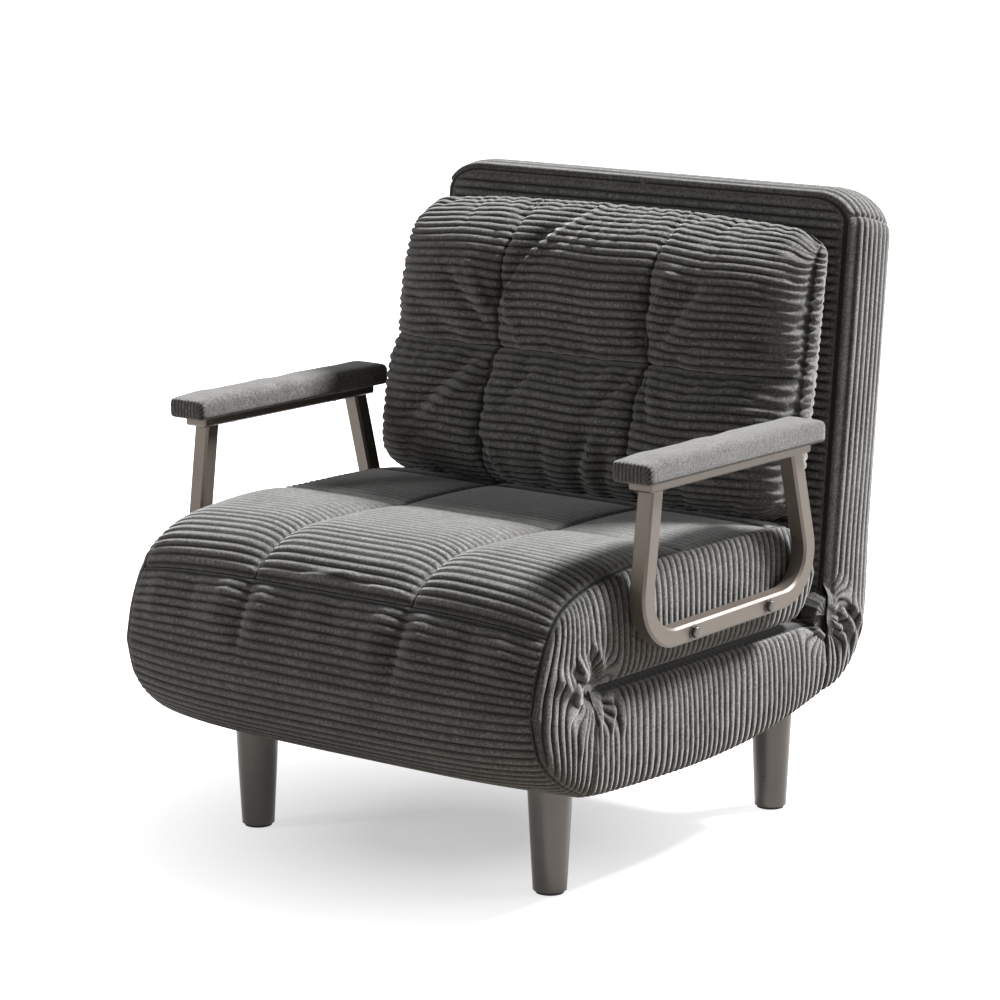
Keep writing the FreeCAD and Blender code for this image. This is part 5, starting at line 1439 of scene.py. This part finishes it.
@dataclass(frozen=True)
class BackCushion:
    """The loose back cushion: three columns, two rows and a gathered border at each end."""

    half_width: float = 0.3305
    bottom: float = 0.1240
    height: float = 0.3860
    low_set: float = 0.086
    high_set: float = 0.049
    rim: float = 0.026
    fullness: float = 0.070
    column: float = 0.123
    seam_share: float = 0.488
    rows: int = 268
    lean: Lean = Lean()
    fabric: Fabric = Fabric()
    stuffing: Stuffing = Stuffing(pressure=4.0, growth=0.025, cap=0.006)
    front_shares: tuple[Spot, ...] = (
        (0.0, 0.30), (0.03, 0.78), (0.10, 1.02), (0.20, 1.12),
        (0.32, 1.11), (0.42, 1.00), (0.465, 0.88), (0.488, 0.76),
        (0.511, 0.85), (0.56, 0.93), (0.66, 1.00), (0.78, 1.00), (0.88, 0.82), (0.95, 0.50), (1.0, 0.16),
    )
    rear_shares: tuple[Spot, ...] = (
        (0.0, 0.50), (0.1, 0.60), (0.3, 0.60), (0.5, 0.58), (0.8, 0.40), (1.0, 0.14),
    )
    folds: tuple[Fold, ...] = (
        ridge(-0.018, 0.512, -0.082, 0.452, 0.015, -0.0158),
        ridge(-0.070, 0.470, -0.122, 0.372, 0.015, -0.0173),
        ridge(0.000, 0.508, -0.062, 0.444, 0.009, 0.0105),
        ridge(-0.052, 0.456, -0.106, 0.372, 0.009, 0.0117),
        ridge(-0.092, 0.396, -0.100, 0.345, 0.009, 0.0090),
        ridge(-0.078, 0.352, -0.077, 0.316, 0.006, 0.0067),
        ridge(0.012, 0.510, -0.026, 0.462, 0.0060, -0.0060),
        ridge(0.024, 0.511, -0.010, 0.456, 0.0075, 0.0087),
        ridge(0.038, 0.510, 0.004, 0.460, 0.0060, -0.0057),
        ridge(0.050, 0.510, 0.018, 0.456, 0.0075, 0.0081),
        ridge(0.064, 0.510, 0.036, 0.462, 0.0060, -0.0051),
        ridge(0.076, 0.509, 0.052, 0.464, 0.0075, 0.0072),
        ridge(0.092, 0.509, 0.080, 0.470, 0.0070, -0.0054),
        ridge(0.106, 0.508, 0.100, 0.474, 0.0065, 0.0054),
        ridge(-0.218, 0.412, -0.132, 0.330, 0.016, -0.0128),
        ridge(-0.180, 0.428, -0.128, 0.350, 0.010, 0.0075),
        ridge(-0.285, 0.378, -0.185, 0.325, 0.018, -0.0075),
        ridge(-0.150, 0.500, -0.140, 0.460, 0.010, 0.0060),
        ridge(-0.205, 0.500, -0.198, 0.468, 0.010, 0.0051),
        ridge(0.208, 0.428, 0.134, 0.328, 0.018, -0.0150),
        ridge(0.170, 0.440, 0.133, 0.368, 0.011, 0.0069),
        ridge(0.225, 0.356, 0.152, 0.318, 0.014, -0.0105),
        ridge(-0.150, 0.296, -0.258, 0.196, 0.018, -0.0142),
        ridge(-0.138, 0.268, -0.212, 0.208, 0.010, 0.0075),
        ridge(-0.175, 0.215, -0.265, 0.160, 0.015, -0.0075),
        ridge(-0.050, 0.290, -0.086, 0.230, 0.017, -0.0097),
        ridge(0.108, 0.296, 0.050, 0.226, 0.013, -0.0120),
        ridge(0.062, 0.222, 0.026, 0.134, 0.013, -0.0135),
        ridge(0.080, 0.212, 0.052, 0.134, 0.008, 0.0084),
        ridge(0.096, 0.196, 0.072, 0.132, 0.010, -0.0097),
        ridge(-0.116, 0.190, -0.104, 0.136, 0.012, -0.0105),
        ridge(-0.096, 0.182, -0.088, 0.136, 0.008, 0.0067),
        ridge(0.130, 0.298, 0.158, 0.228, 0.010, -0.0097),
        ridge(0.146, 0.292, 0.182, 0.240, 0.010, 0.0060),
        ridge(0.150, 0.210, 0.142, 0.140, 0.012, -0.0083),
        ridge(0.215, 0.240, 0.195, 0.165, 0.018, -0.0075),
        ridge(-0.012, 0.205, -0.022, 0.138, 0.012, -0.0075),
        ridge(0.160, 0.506, 0.152, 0.470, 0.009, 0.0060),
        ridge(0.200, 0.504, 0.192, 0.468, 0.009, -0.0066),
        ridge(0.232, 0.502, 0.222, 0.466, 0.009, 0.0066),
    )

    def build(self) -> Thing:
        """Makes the front and rear cloth and the two end borders, stuffs them and adds the ribs.

        Returns:
            The sewn piece.
        """
        step = np.linspace(0.0, 1.0, self.rows)
        share = step - 0.80 * np.sin(2 * math.pi * step) / (2 * math.pi)
        columns = stations(-self.half_width, self.half_width, (-self.column, self.column), 0.0072, 0.0019)
        front = self.sheet(share, columns, True)
        rear = self.sheet(share[::-1], columns, False)
        left = self.end_border(front, rear, 1.0)
        right = self.end_border(front, rear, -1.0)
        rim = np.abs(columns) > self.half_width - 1e-6
        row_seam = np.abs(share - self.seam_share) * self.height < 0.0026
        column_seam = np.abs(np.abs(columns) - self.column) < 1e-6
        held_front = row_seam[:, None] | (column_seam | rim)[None, :]
        held_rear = np.ones((len(share), len(columns)), bool)
        ends = np.zeros(left.points.shape[:2], bool)
        ends[:, [0, -1]] = True
        self.stuffing.settle([front, rear, left, right], [held_front, held_rear, ends, ends])
        for panel in (front, rear):
            panel.ribbed(self.fabric.ribs)
        return sewn("back_cushion", [front, rear, left, right])

    def sheet(self, share: Grid, columns: Grid, is_front: bool) -> Panel:
        """One side of the cushion, front or rear, before its ribs.

        Args:
            share: Places up the cushion, 0 to 1.
            columns: Places across it.
            is_front: Whether it is the front.

        Returns:
            The panel.
        """
        knots = np.array(self.front_shares if is_front else self.rear_shares)
        swell = np.interp(share, *self.smoothed(knots))
        cap = np.sqrt(np.maximum(1.0 - np.abs(2.0 * share - 1.0) ** 8, 0.0))
        end = np.maximum(1.0 - np.abs(columns / self.half_width) ** 6, 0.0) ** 0.5
        middle = self.low_set + (self.high_set - self.low_set) * share
        high = np.broadcast_to((share * self.height)[:, None], (len(share), len(columns)))
        thick = self.fullness * swell[:, None] * end[None, :]
        edges = smooth_step((self.half_width - np.abs(columns)) / 0.006)
        fade = np.broadcast_to(edges[None, :], high.shape).copy()
        if is_front:
            thick = thick + self.front_form(share, columns, high) * end[None, :]
            gather = self.end_gathers(columns, high)
            thick = thick + gather
            fade = fade * smooth_step(np.abs(share - self.seam_share) * self.height / 0.0035)[:, None]
            fade = fade * smooth_step(np.abs(np.abs(columns) - self.column) / 0.0045)[None, :]
            fade = fade * (1.0 - 0.75 * smooth_step((columns - 0.285) / 0.03))[None, :]
        half = (self.rim / 2 + thick) * cap[:, None]
        depth = -middle[:, None] - half if is_front else -middle[:, None] + half
        droop = 0.014 * (1.0 - np.abs(columns / self.half_width) ** 2.5) - 0.013
        end_part = smooth_step((np.abs(columns) - self.half_width + 0.050) / 0.050)[None, :]
        rounding = 0.013 * smooth_step((share - 0.88) / 0.12) - 0.012 * smooth_step((0.10 - share) / 0.10)
        up = self.bottom + high + droop[None, :] * smooth_step((share - 0.55) / 0.45)[:, None]
        up = up - rounding[:, None] * end_part ** 2
        across = columns[None, :] * (1.0 - 0.010 * smooth_step((share - 0.4) / 0.6))[:, None]
        points = self.lean.point(np.broadcast_to(across, up.shape), up, depth)
        plain = middle + (self.rim / 2 + self.fullness * swell) * cap * (1.0 if is_front else -1.0)
        run = run_length(np.stack([up[:, len(columns) // 2], plain], axis=1))
        run = run if is_front else run + 0.5
        rib_run = np.broadcast_to(run[:, None], up.shape) + 0.0014 * np.sin(columns * 40.0)[None, :]
        # The front's sewn column and row seams get painted shade.
        seam_row = np.abs(share - self.seam_share) * self.height < 0.0012
        seam_shaded = (np.abs(np.abs(columns) - self.column) < 1e-6)[None, :] | seam_row[:, None]
        along = np.broadcast_to(columns[None, :], up.shape)
        return Panel(points, rib_run, along, fade, True, seam_shaded & is_front)

    def front_form(self, share: Grid, columns: Grid, high: Grid) -> Grid:
        """Puffed cells, sewn grooves and listed folds of the front cloth.

        Args:
            share: Places up the cushion, 0 to 1.
            columns: Places across it.
            high: Height of each point over the cushion's foot.

        Returns:
            Height at each point.
        """
        seams = (-self.half_width, -self.column, self.column, self.half_width)
        column_cell = in_cells(columns, seams)
        row_cell = in_cells(share, (0.0, self.seam_share, 1.0))
        stuffed = puff(column_cell, 3.2, 0.55)[None, :] * (0.30 + 0.70 * puff(row_cell, 4.0, 0.5))[:, None]
        narrow = np.exp(-((np.abs(columns) - self.column) / 0.0034) ** 2)
        relief = 0.0105 * (stuffed - 0.45) - 0.0040 * narrow[None, :]
        groove = np.exp(-((share - self.seam_share) * self.height / 0.0036) ** 2)
        relief = relief - 0.0040 * groove[:, None]
        across = np.broadcast_to(columns[None, :], high.shape)
        return relief + fold_relief(self.folds, across, high + self.bottom)

    def end_gathers(self, columns: Grid, high: Grid) -> Grid:
        """Short folds that run in from the border seams, more on the sitter's left."""
        reach = 0.030 + 0.016 * np.sin(high * 91.0) + 0.008 * np.sin(high * 223.0 + 1.0)
        inner = smooth_step((np.abs(columns)[None, :] - (self.half_width - 0.016 - reach)) / 0.030)
        turn = high * 245.0 + 0.9 * np.sin(high * 57.0) + 0.35 * np.sin(columns * 160.0)[None, :]
        waves = 1.2 - 2.4 * np.abs(np.cos(turn)) ** 1.6 + 0.4 * np.sin(high * 233.0 + 2.0)
        strength = np.where(columns > 0, 0.0026, 0.0012)
        return strength[None, :] * inner * waves * smooth_step(from_edges(high[:, 0]) / 0.03)[:, None]

    def smoothed(self, knots: Grid) -> tuple[Grid, Grid]:
        """A smooth line through the knots as two rows."""
        line = spline(knots, 12)
        return line[:, 0], line[:, 1]

    def end_border(self, front: Panel, rear: Panel, side: float) -> Panel:
        """The narrow gathered cloth between the front and rear at one end.

        Args:
            front: The front.
            rear: The rear.
            side: 1 for the sitter's left, -1 for the sitter's right.

        Returns:
            The panel.
        """
        index = -1 if side > 0 else 0
        first = front.points[:, index]
        second = rear.points[::-1, index]
        share = np.linspace(0.0, 1.0, 15)
        points = first[:, None, :] + (second - first)[:, None, :] * share[None, :, None]
        run = run_length(first)
        gather = 0.0016 * np.sin(run * 500.0 + 1.5 * np.sin(run * 37.0)) + 0.0009 * np.sin(run * 211.0 + 1.0)
        swell = (4.0 * share * (1.0 - share)) ** 0.55
        wide = np.linalg.norm(second - first, axis=1)
        near_front = (1.0 - share) ** 1.3 * 1.6
        out = (0.0062 + gather[:, None] * near_front[None, :]) * swell[None, :]
        out = out * smooth_step(wide / 0.02)[:, None]
        points[..., 0] += side * out
        across = np.broadcast_to((share * self.rim)[None, :], out.shape)
        return Panel(points, across, np.broadcast_to(run[:, None], out.shape), 0.0, side > 0)


@dataclass(frozen=True)
class Gusset:
    """The gathered cloth over a hinge, seen between the seat, the lower layer and the backrest, with painted
    shade on it.
    """

    inner: float = 0.3215
    half_width: float = 0.3262
    radius: float = 0.0310
    spokes: int = 17
    fabric: Fabric = Fabric()
    lean: Lean = Lean()

    def build(self, side: float) -> Thing:
        """Makes one gusset.

        Args:
            side: 1 for the sitter's left, -1 for the sitter's right.

        Returns:
            The gusset.
        """
        share = np.linspace(0.001, 1.0, 25)
        turn = np.linspace(-math.pi, math.pi, 145)
        name = "hinge_gusset_left" if side > 0 else "hinge_gusset_right"
        return sewn(name, [self.disc(share, turn, side, True), self.disc(share, turn, side, False)])

    def disc(self, share: Grid, turn: Grid, side: float, is_front: bool) -> Panel:
        """The cloth over the hinge, or the hidden lining behind it.

        Args:
            share: Places from the middle to the rim, 0 to 1.
            turn: Angles round it.
            side: 1 for the sitter's left, -1 for the sitter's right.
            is_front: Whether it is the cloth in view.

        Returns:
            The panel.
        """
        radius = np.broadcast_to((self.radius * share)[:, None], (len(share), len(turn)))
        y = self.lean.crease_y + radius * np.cos(turn)[None, :]
        z = self.lean.crease_z + radius * np.sin(turn)[None, :]
        open_side = smooth_step((turn - 1.25) / 0.35) * smooth_step((math.pi + 0.10 - turn) / 0.25)
        rounding = 1.0 - smooth_step((radius - 0.0215) / 0.0095)
        cover = (0.0138 - 0.0042 * (1.0 - open_side[None, :])) * rounding
        x = self.half_width + cover if is_front else np.full_like(y, self.inner)
        x = np.where(share[:, None] > 0.999, self.inner, x)
        points = np.stack([side * x, y, z], axis=2)
        fan = np.broadcast_to((turn / (2 * math.pi) * self.fabric.ribs.pitch * self.spokes)[None, :], y.shape)
        # Painted shade: the visible gusset takes a negative rib value, which darkens its cloth.
        fade = -0.30 * np.ones_like(y)
        panel = Panel(points, fan, radius, fade if is_front else 0.0, is_front == (side < 0))
        return panel.ribbed(self.fabric.ribs)


@dataclass(frozen=True)
class ArmPads:
    """The two padded arm rests."""

    inner: float = 0.332
    outer: float = 0.392
    front: float = -0.2363
    rear: float = 0.1487
    low: float = 0.5306
    high: float = 0.5606
    crown: float = 0.003

    def build(self, side: float) -> Thing:
        """Makes one pad from a block: cut along, rounded, crowned and wrapped.

        Args:
            side: 1 for the sitter's left, -1 for the right.

        Returns:
            The pad.
        """
        bpy.ops.object.select_all(action="DESELECT")
        across = side * (self.inner + self.outer) / 2
        middle = (across, (self.front + self.rear) / 2, (self.low + self.high) / 2)
        size = (self.outer - self.inner, self.rear - self.front, self.high - self.low)
        bpy.ops.mesh.primitive_cube_add(size=1.0, location=middle, scale=size)
        pad = bpy.context.active_object
        pad.name = "arm_pad_cover_left" if side > 0 else "arm_pad_cover_right"
        select_only(pad)
        bpy.ops.object.transform_apply(location=True, rotation=True, scale=True)
        bpy.ops.object.mode_set(mode="EDIT")
        bpy.ops.mesh.select_all(action="SELECT")
        bpy.ops.mesh.bevel(offset=0.0105, segments=5, profile=0.6, affect="EDGES")
        bpy.ops.object.mode_set(mode="OBJECT")
        shape = bmesh.new()
        shape.from_mesh(pad.data)
        for place in np.arange(self.front + 0.02, self.rear - 0.015, 0.012):
            geometry = shape.verts[:] + shape.edges[:] + shape.faces[:]
            bmesh.ops.bisect_plane(shape, geom=geometry, plane_co=(0, place, 0), plane_no=(0, 1, 0))
        for place in np.arange(self.inner + 0.012, self.outer - 0.008, 0.006):
            geometry = shape.verts[:] + shape.edges[:] + shape.faces[:]
            bmesh.ops.bisect_plane(shape, geom=geometry, plane_co=(side * place, 0, 0), plane_no=(1, 0, 0))
        cloth = shape.loops.layers.uv.new("cloth")
        depth = shape.verts.layers.float.new(RIB_DEPTH)
        for vertex in shape.verts:
            self.settle(vertex, side)
        shape.normal_update()
        for vertex in shape.verts:
            vertex[depth] = float(smooth_step((abs(vertex.normal.y) - 0.25) / 0.35))
        for face in shape.faces:
            face.smooth = True
            for loop in face.loops:
                loop[cloth].uv = self.cloth_place(loop.vert, side)
        shape.to_mesh(pad.data)
        shape.free()
        return pad

    def settle(self, vertex: bmesh.types.BMVert, side: float) -> None:
        """Crowns the top, flattens the underside and lets the cloth ripple a little.

        Args:
            vertex: A corner of the pad, which is moved.
            side: 1 for the sitter's left, -1 for the right.
        """
        place = vertex.co
        reach = min(place.y - self.front, self.rear - place.y)
        off = abs(place.x - side * (self.inner + self.outer) / 2) / ((self.outer - self.inner) / 2)
        share = (place.z - self.low) / (self.high - self.low)
        lift = self.crown * (1.0 - off ** 2.2) * min(1.0, max(reach, 0.0) / 0.05) - 0.0024
        ripple = 0.0005 * math.sin(place.y * 61.0) + 0.0004 * math.sin(place.y * 97.0 + 1.3)
        place.z += (lift + ripple) * max(0.0, share)
        if share < 0.35:
            place.z = self.low + (place.z - self.low) * (0.35 + 0.65 * share / 0.35)

    def cloth_place(self, vertex: bmesh.types.BMVert, side: float) -> Spot:
        """The cloth's own coordinates: ribs run the length of the pad and down its ends."""
        place = vertex.co
        middle = side * (self.inner + self.outer) / 2
        across = place.x - middle
        drop = max(0.0, self.high - 0.008 - place.z)
        turned = across + math.copysign(drop, across) * smooth_step((abs(across) - 0.020) / 0.006)
        return place.y, float(turned)


@dataclass(frozen=True)
class BoltHeads:
    """Domed hexagon heads of the arm bolts, each on a washer."""

    outer_face: float = 0.374
    places: tuple[Spot, ...] = ((-0.1163, 0.3292), (0.0477, 0.3326))
    head_radius: float = 0.0082
    head: float = 0.0058
    head_edge: float = 0.0016
    washer_radius: float = 0.0098
    washer: float = 0.0012
    washer_edge: float = 0.0003
    shank_radius: float = 0.004
    shank: float = 0.052
    shank_edge: float = 0.0002

    def build(self) -> Thing:
        """Makes a hexagonal head, a washer and a shank at each of the four places and joins them.

        Returns:
            The bolts as one piece.
        """
        parts = []
        for side in (LEFT, RIGHT):
            for y, z in self.places:
                turn = (0.0, side * math.pi / 2, 0.0)
                face = self.outer_face
                bars = (
                    (6, self.head_radius, self.head, face + self.washer + self.head / 2, self.head_edge),
                    (28, self.washer_radius, self.washer, face + self.washer / 2, self.washer_edge),
                    (20, self.shank_radius, self.shank, face - self.shank / 2, self.shank_edge),
                )
                for sides, radius, length, middle, edge in bars:
                    parts.append(self.turned(sides, radius, length, (side * middle, y, z), turn, edge))
        bpy.ops.object.select_all(action="DESELECT")
        for part in parts:
            part.select_set(True)
        bpy.context.view_layer.objects.active = parts[0]
        bpy.ops.object.join()
        joined = bpy.context.active_object
        joined.name = "arm_bolt_heads"
        return joined

    def turned(
        self, sides: int, radius: float, length: float, place: Place, turn: Place, edge: float
    ) -> Thing:
        """A short bar with its edges taken off.

        Args:
            sides: Number of its sides.
            radius: Its radius.
            length: Its length.
            place: Its middle.
            turn: Its turn in radians.
            edge: Width of the edge that is taken off.

        Returns:
            The bar.
        """
        bpy.ops.object.select_all(action="DESELECT")
        bpy.ops.mesh.primitive_cylinder_add(
            vertices=sides, radius=radius, depth=length, location=place, rotation=turn
        )
        bar = bpy.context.active_object
        bpy.ops.object.transform_apply(location=True, rotation=True, scale=True)
        bevel = bar.modifiers.new("edge", "BEVEL")
        bevel.width = edge
        bevel.segments = 3
        bevel.limit_method = "ANGLE"
        bpy.ops.object.modifier_apply(modifier="edge")
        bpy.ops.object.shade_smooth_by_angle(angle=math.radians(35))
        return bar


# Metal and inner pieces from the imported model


@dataclass(frozen=True)
class Dressing:
    """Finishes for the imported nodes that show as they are."""

    finishes: Finishes

    def finish_for(self, node: str) -> bpy.types.Material:
        """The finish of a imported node, by its name.

        Args:
            node: Name of the node.

        Returns:
            Its finish.
        """
        table = (
            (("arm_loop", "arm_rail"), self.finishes.arm_metal),
            (("leg_front", "leg_rear"), self.finishes.leg_metal),
            (("leg_glides", "head_stand_feet"), self.finishes.glide),
            (("arm_board", "base_slats", "seat_slats"), self.finishes.plywood),
            (("back_straps",), self.finishes.webbing),
            (("arm_bushes",), self.finishes.plastic),
            (("arm_bolts", "arm_screws", "leg_studs", "pawl"), self.finishes.fixings),
            (("front_hinge_pins", "rear_hinge_pins", "stand_pins"), self.finishes.fixings),
        )
        for starts, finish in table:
            if node.startswith(starts):
                return finish
        return self.finishes.foam if "foam" in node else self.finishes.frame_metal

    def apply(self, nodes: dict[str, Thing]) -> None:
        """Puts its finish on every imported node.

        Args:
            nodes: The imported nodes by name.
        """
        for name, thing in nodes.items():
            finish = self.finish_for(name)
            if not thing.material_slots:
                thing.data.materials.append(finish)
            for place in thing.material_slots:
                place.material = finish
            LOG.info("dressed %s", name)


# Floor, light and camera


@dataclass(frozen=True)
class Studio:
    """The pale floor, the soft light and the camera of the photograph."""

    camera_place: Place = (2.9417, -3.77821, 1.38869)
    camera_turn: Place = (78.68, 0.0, 38.1)
    lens: float = 134.17
    sun_way: Place = (0.31, 0.53, 0.79)
    sun_strength: float = 9.0
    sky_strength: float = 0.072

    def build(self) -> None:
        """Adds floor, lights, world and camera."""
        self.floor()
        self.lights()
        self.world()
        self.camera()
        bpy.context.scene.view_settings.view_transform = "Standard"

    def floor(self) -> None:
        """A wide pale floor that the camera sees as white away from the shadow, with a painted glow that grows
        with distance from under the chair and fades the cast shadow.
        """
        bpy.ops.object.select_all(action="DESELECT")
        bpy.ops.mesh.primitive_plane_add(size=60.0, location=(0.0, 0.0, -0.0005))
        floor = bpy.context.active_object
        floor.name = "studio_floor"
        material = bpy.data.materials.new("pale_floor")
        material.use_nodes = True
        kit = Nodes(material.node_tree)
        shader = material.node_tree.nodes["Principled BSDF"]
        shader.inputs["Roughness"].default_value = 0.9
        shader.inputs["Specular IOR Level"].default_value = 0.1
        glow = kit.add("ShaderNodeEmission")
        glow.inputs["Color"].default_value = (1.0, 1.0, 1.0, 1.0)
        path = kit.add("ShaderNodeLightPath")
        mirrored_in = kit.maths("MAXIMUM", path.outputs["Is Camera Ray"], path.outputs["Is Glossy Ray"])
        tone = kit.mixed(mirrored_in, (0.16, 0.137, 0.116, 1.0), (0.5, 0.5, 0.5, 1.0))
        kit.join(tone, shader.inputs["Base Color"])
        # Painted glow: the floor's emission rises from 0.49 under the chair to 0.98 at 0.47 m away, which fades
        # the cast shadow.
        place = kit.add("ShaderNodeTexCoord")
        away = kit.add("ShaderNodeVectorMath", operation="DISTANCE")
        kit.join(place.outputs["Object"], away.inputs[0])
        away.inputs[1].default_value = (-0.02, -0.10, 0.0)
        seen = kit.maths("MULTIPLY", mirrored_in, kit.ranged(away.outputs["Value"], 0.10, 0.47, 0.49, 0.98))
        kit.join(seen, glow.inputs["Strength"])
        both = kit.add("ShaderNodeAddShader")
        kit.join(shader.outputs[0], both.inputs[0])
        kit.join(glow.outputs[0], both.inputs[1])
        kit.join(both.outputs[0], material.node_tree.nodes["Material Output"].inputs["Surface"])
        floor.data.materials.append(material)

    def lights(self) -> None:
        """One broad sun from behind the right side and two soft panels."""
        sun = bpy.data.lights.new("key_sun", "SUN")
        sun.energy = self.sun_strength
        sun.angle = math.radians(13.0)
        self.aim(sun, Vector(self.sun_way) * 5.0, Vector((0.0, 0.0, 0.3)))
        for name, place, size, energy in (
            ("right_panel", (2.6, 1.9, 1.3), 1.2, 22.0),
            ("left_panel", (-1.3, -1.7, 1.1), 0.35, 8.2),
        ):
            panel = bpy.data.lights.new(name, "AREA")
            panel.energy = energy
            panel.size = size
            self.aim(panel, Vector(place), Vector((0.0, 0.0, 0.4)))

    def aim(self, lamp: bpy.types.Light, place: Vector, target: Vector) -> None:
        """Places a lamp so that it points at the target."""
        thing = bpy.data.objects.new(lamp.name, lamp)
        bpy.context.scene.collection.objects.link(thing)
        thing.location = place
        thing.rotation_euler = (target - place).to_track_quat("-Z", "Y").to_euler()

    def world(self) -> None:
        """A plain pale surround, white where the camera or a reflection sees it."""
        world = bpy.context.scene.world or bpy.data.worlds.new("surround")
        bpy.context.scene.world = world
        world.use_nodes = True
        kit = Nodes(world.node_tree)
        back = world.node_tree.nodes["Background"]
        back.inputs["Color"].default_value = (1.0, 1.0, 1.0, 1.0)
        path = kit.add("ShaderNodeLightPath")
        seen = kit.maths("MAXIMUM", path.outputs["Is Camera Ray"], path.outputs["Is Glossy Ray"])
        strength = kit.ranged(seen, 0.0, 1.0, self.sky_strength, 1.0)
        kit.join(strength, back.inputs["Strength"])

    def camera(self) -> None:
        """The camera at the photograph's angle and distance."""
        camera = bpy.data.cameras.new("photo_camera")
        camera.lens = self.lens
        camera.sensor_width = 36.0
        thing = bpy.data.objects.new("photo_camera", camera)
        bpy.context.scene.collection.objects.link(thing)
        thing.location = self.camera_place
        thing.rotation_euler = [math.radians(turn) for turn in self.camera_turn]
        bpy.context.scene.camera = thing


def dress(piece: Thing, finish: bpy.types.Material) -> None:
    """Gives a new piece its finish."""
    piece.data.materials.clear()
    piece.data.materials.append(finish)
    LOG.info("made %s with %d faces", piece.name, len(piece.data.polygons))


def corners(box: tuple[Sequence[float], Sequence[float]]) -> list[list[float]]:
    """A box as plain lists."""
    return [[float(value) for value in corner] for corner in box]


def main() -> None:
    """Builds the dressed chair bed piece by piece."""
    logging.basicConfig(level=logging.INFO, format="%(message)s")
    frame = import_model()
    finishes = Finishes()
    Dressing(finishes).apply(frame["nodes"])

    base = BaseLayer().build()
    dress(base, finishes.corduroy)
    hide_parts("base_cover")
    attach(base, Body.BASE.value)

    seat = SeatLayer().build()
    dress(seat, finishes.corduroy)
    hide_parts("seat_cover", "front_fold")
    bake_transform(seat)

    for side in (LEFT, RIGHT):
        gusset = Gusset().build(side)
        dress(gusset, finishes.corduroy)
        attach(gusset, Body.BASE.value)

    back = BackLayer().build()
    dress(back, finishes.corduroy)
    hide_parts("back_cover", "rear_fold")
    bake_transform(back)

    cushion = BackCushion().build()
    dress(cushion, finishes.corduroy)
    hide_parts("back_pillow")
    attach(cushion, Body.PILLOW.value)

    for side, name in ((1.0, "arm_pad_left"), (-1.0, "arm_pad_right")):
        pad = ArmPads().build(side)
        dress(pad, finishes.arm_cloth)
        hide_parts(name)
        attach(pad, Body.SEAT.value)

    bolts = BoltHeads().build()
    dress(bolts, finishes.fixings)
    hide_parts("arm_bolts")
    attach(bolts, Body.SEAT.value)

    Studio().build()


if __name__ == "__main__":
    main()
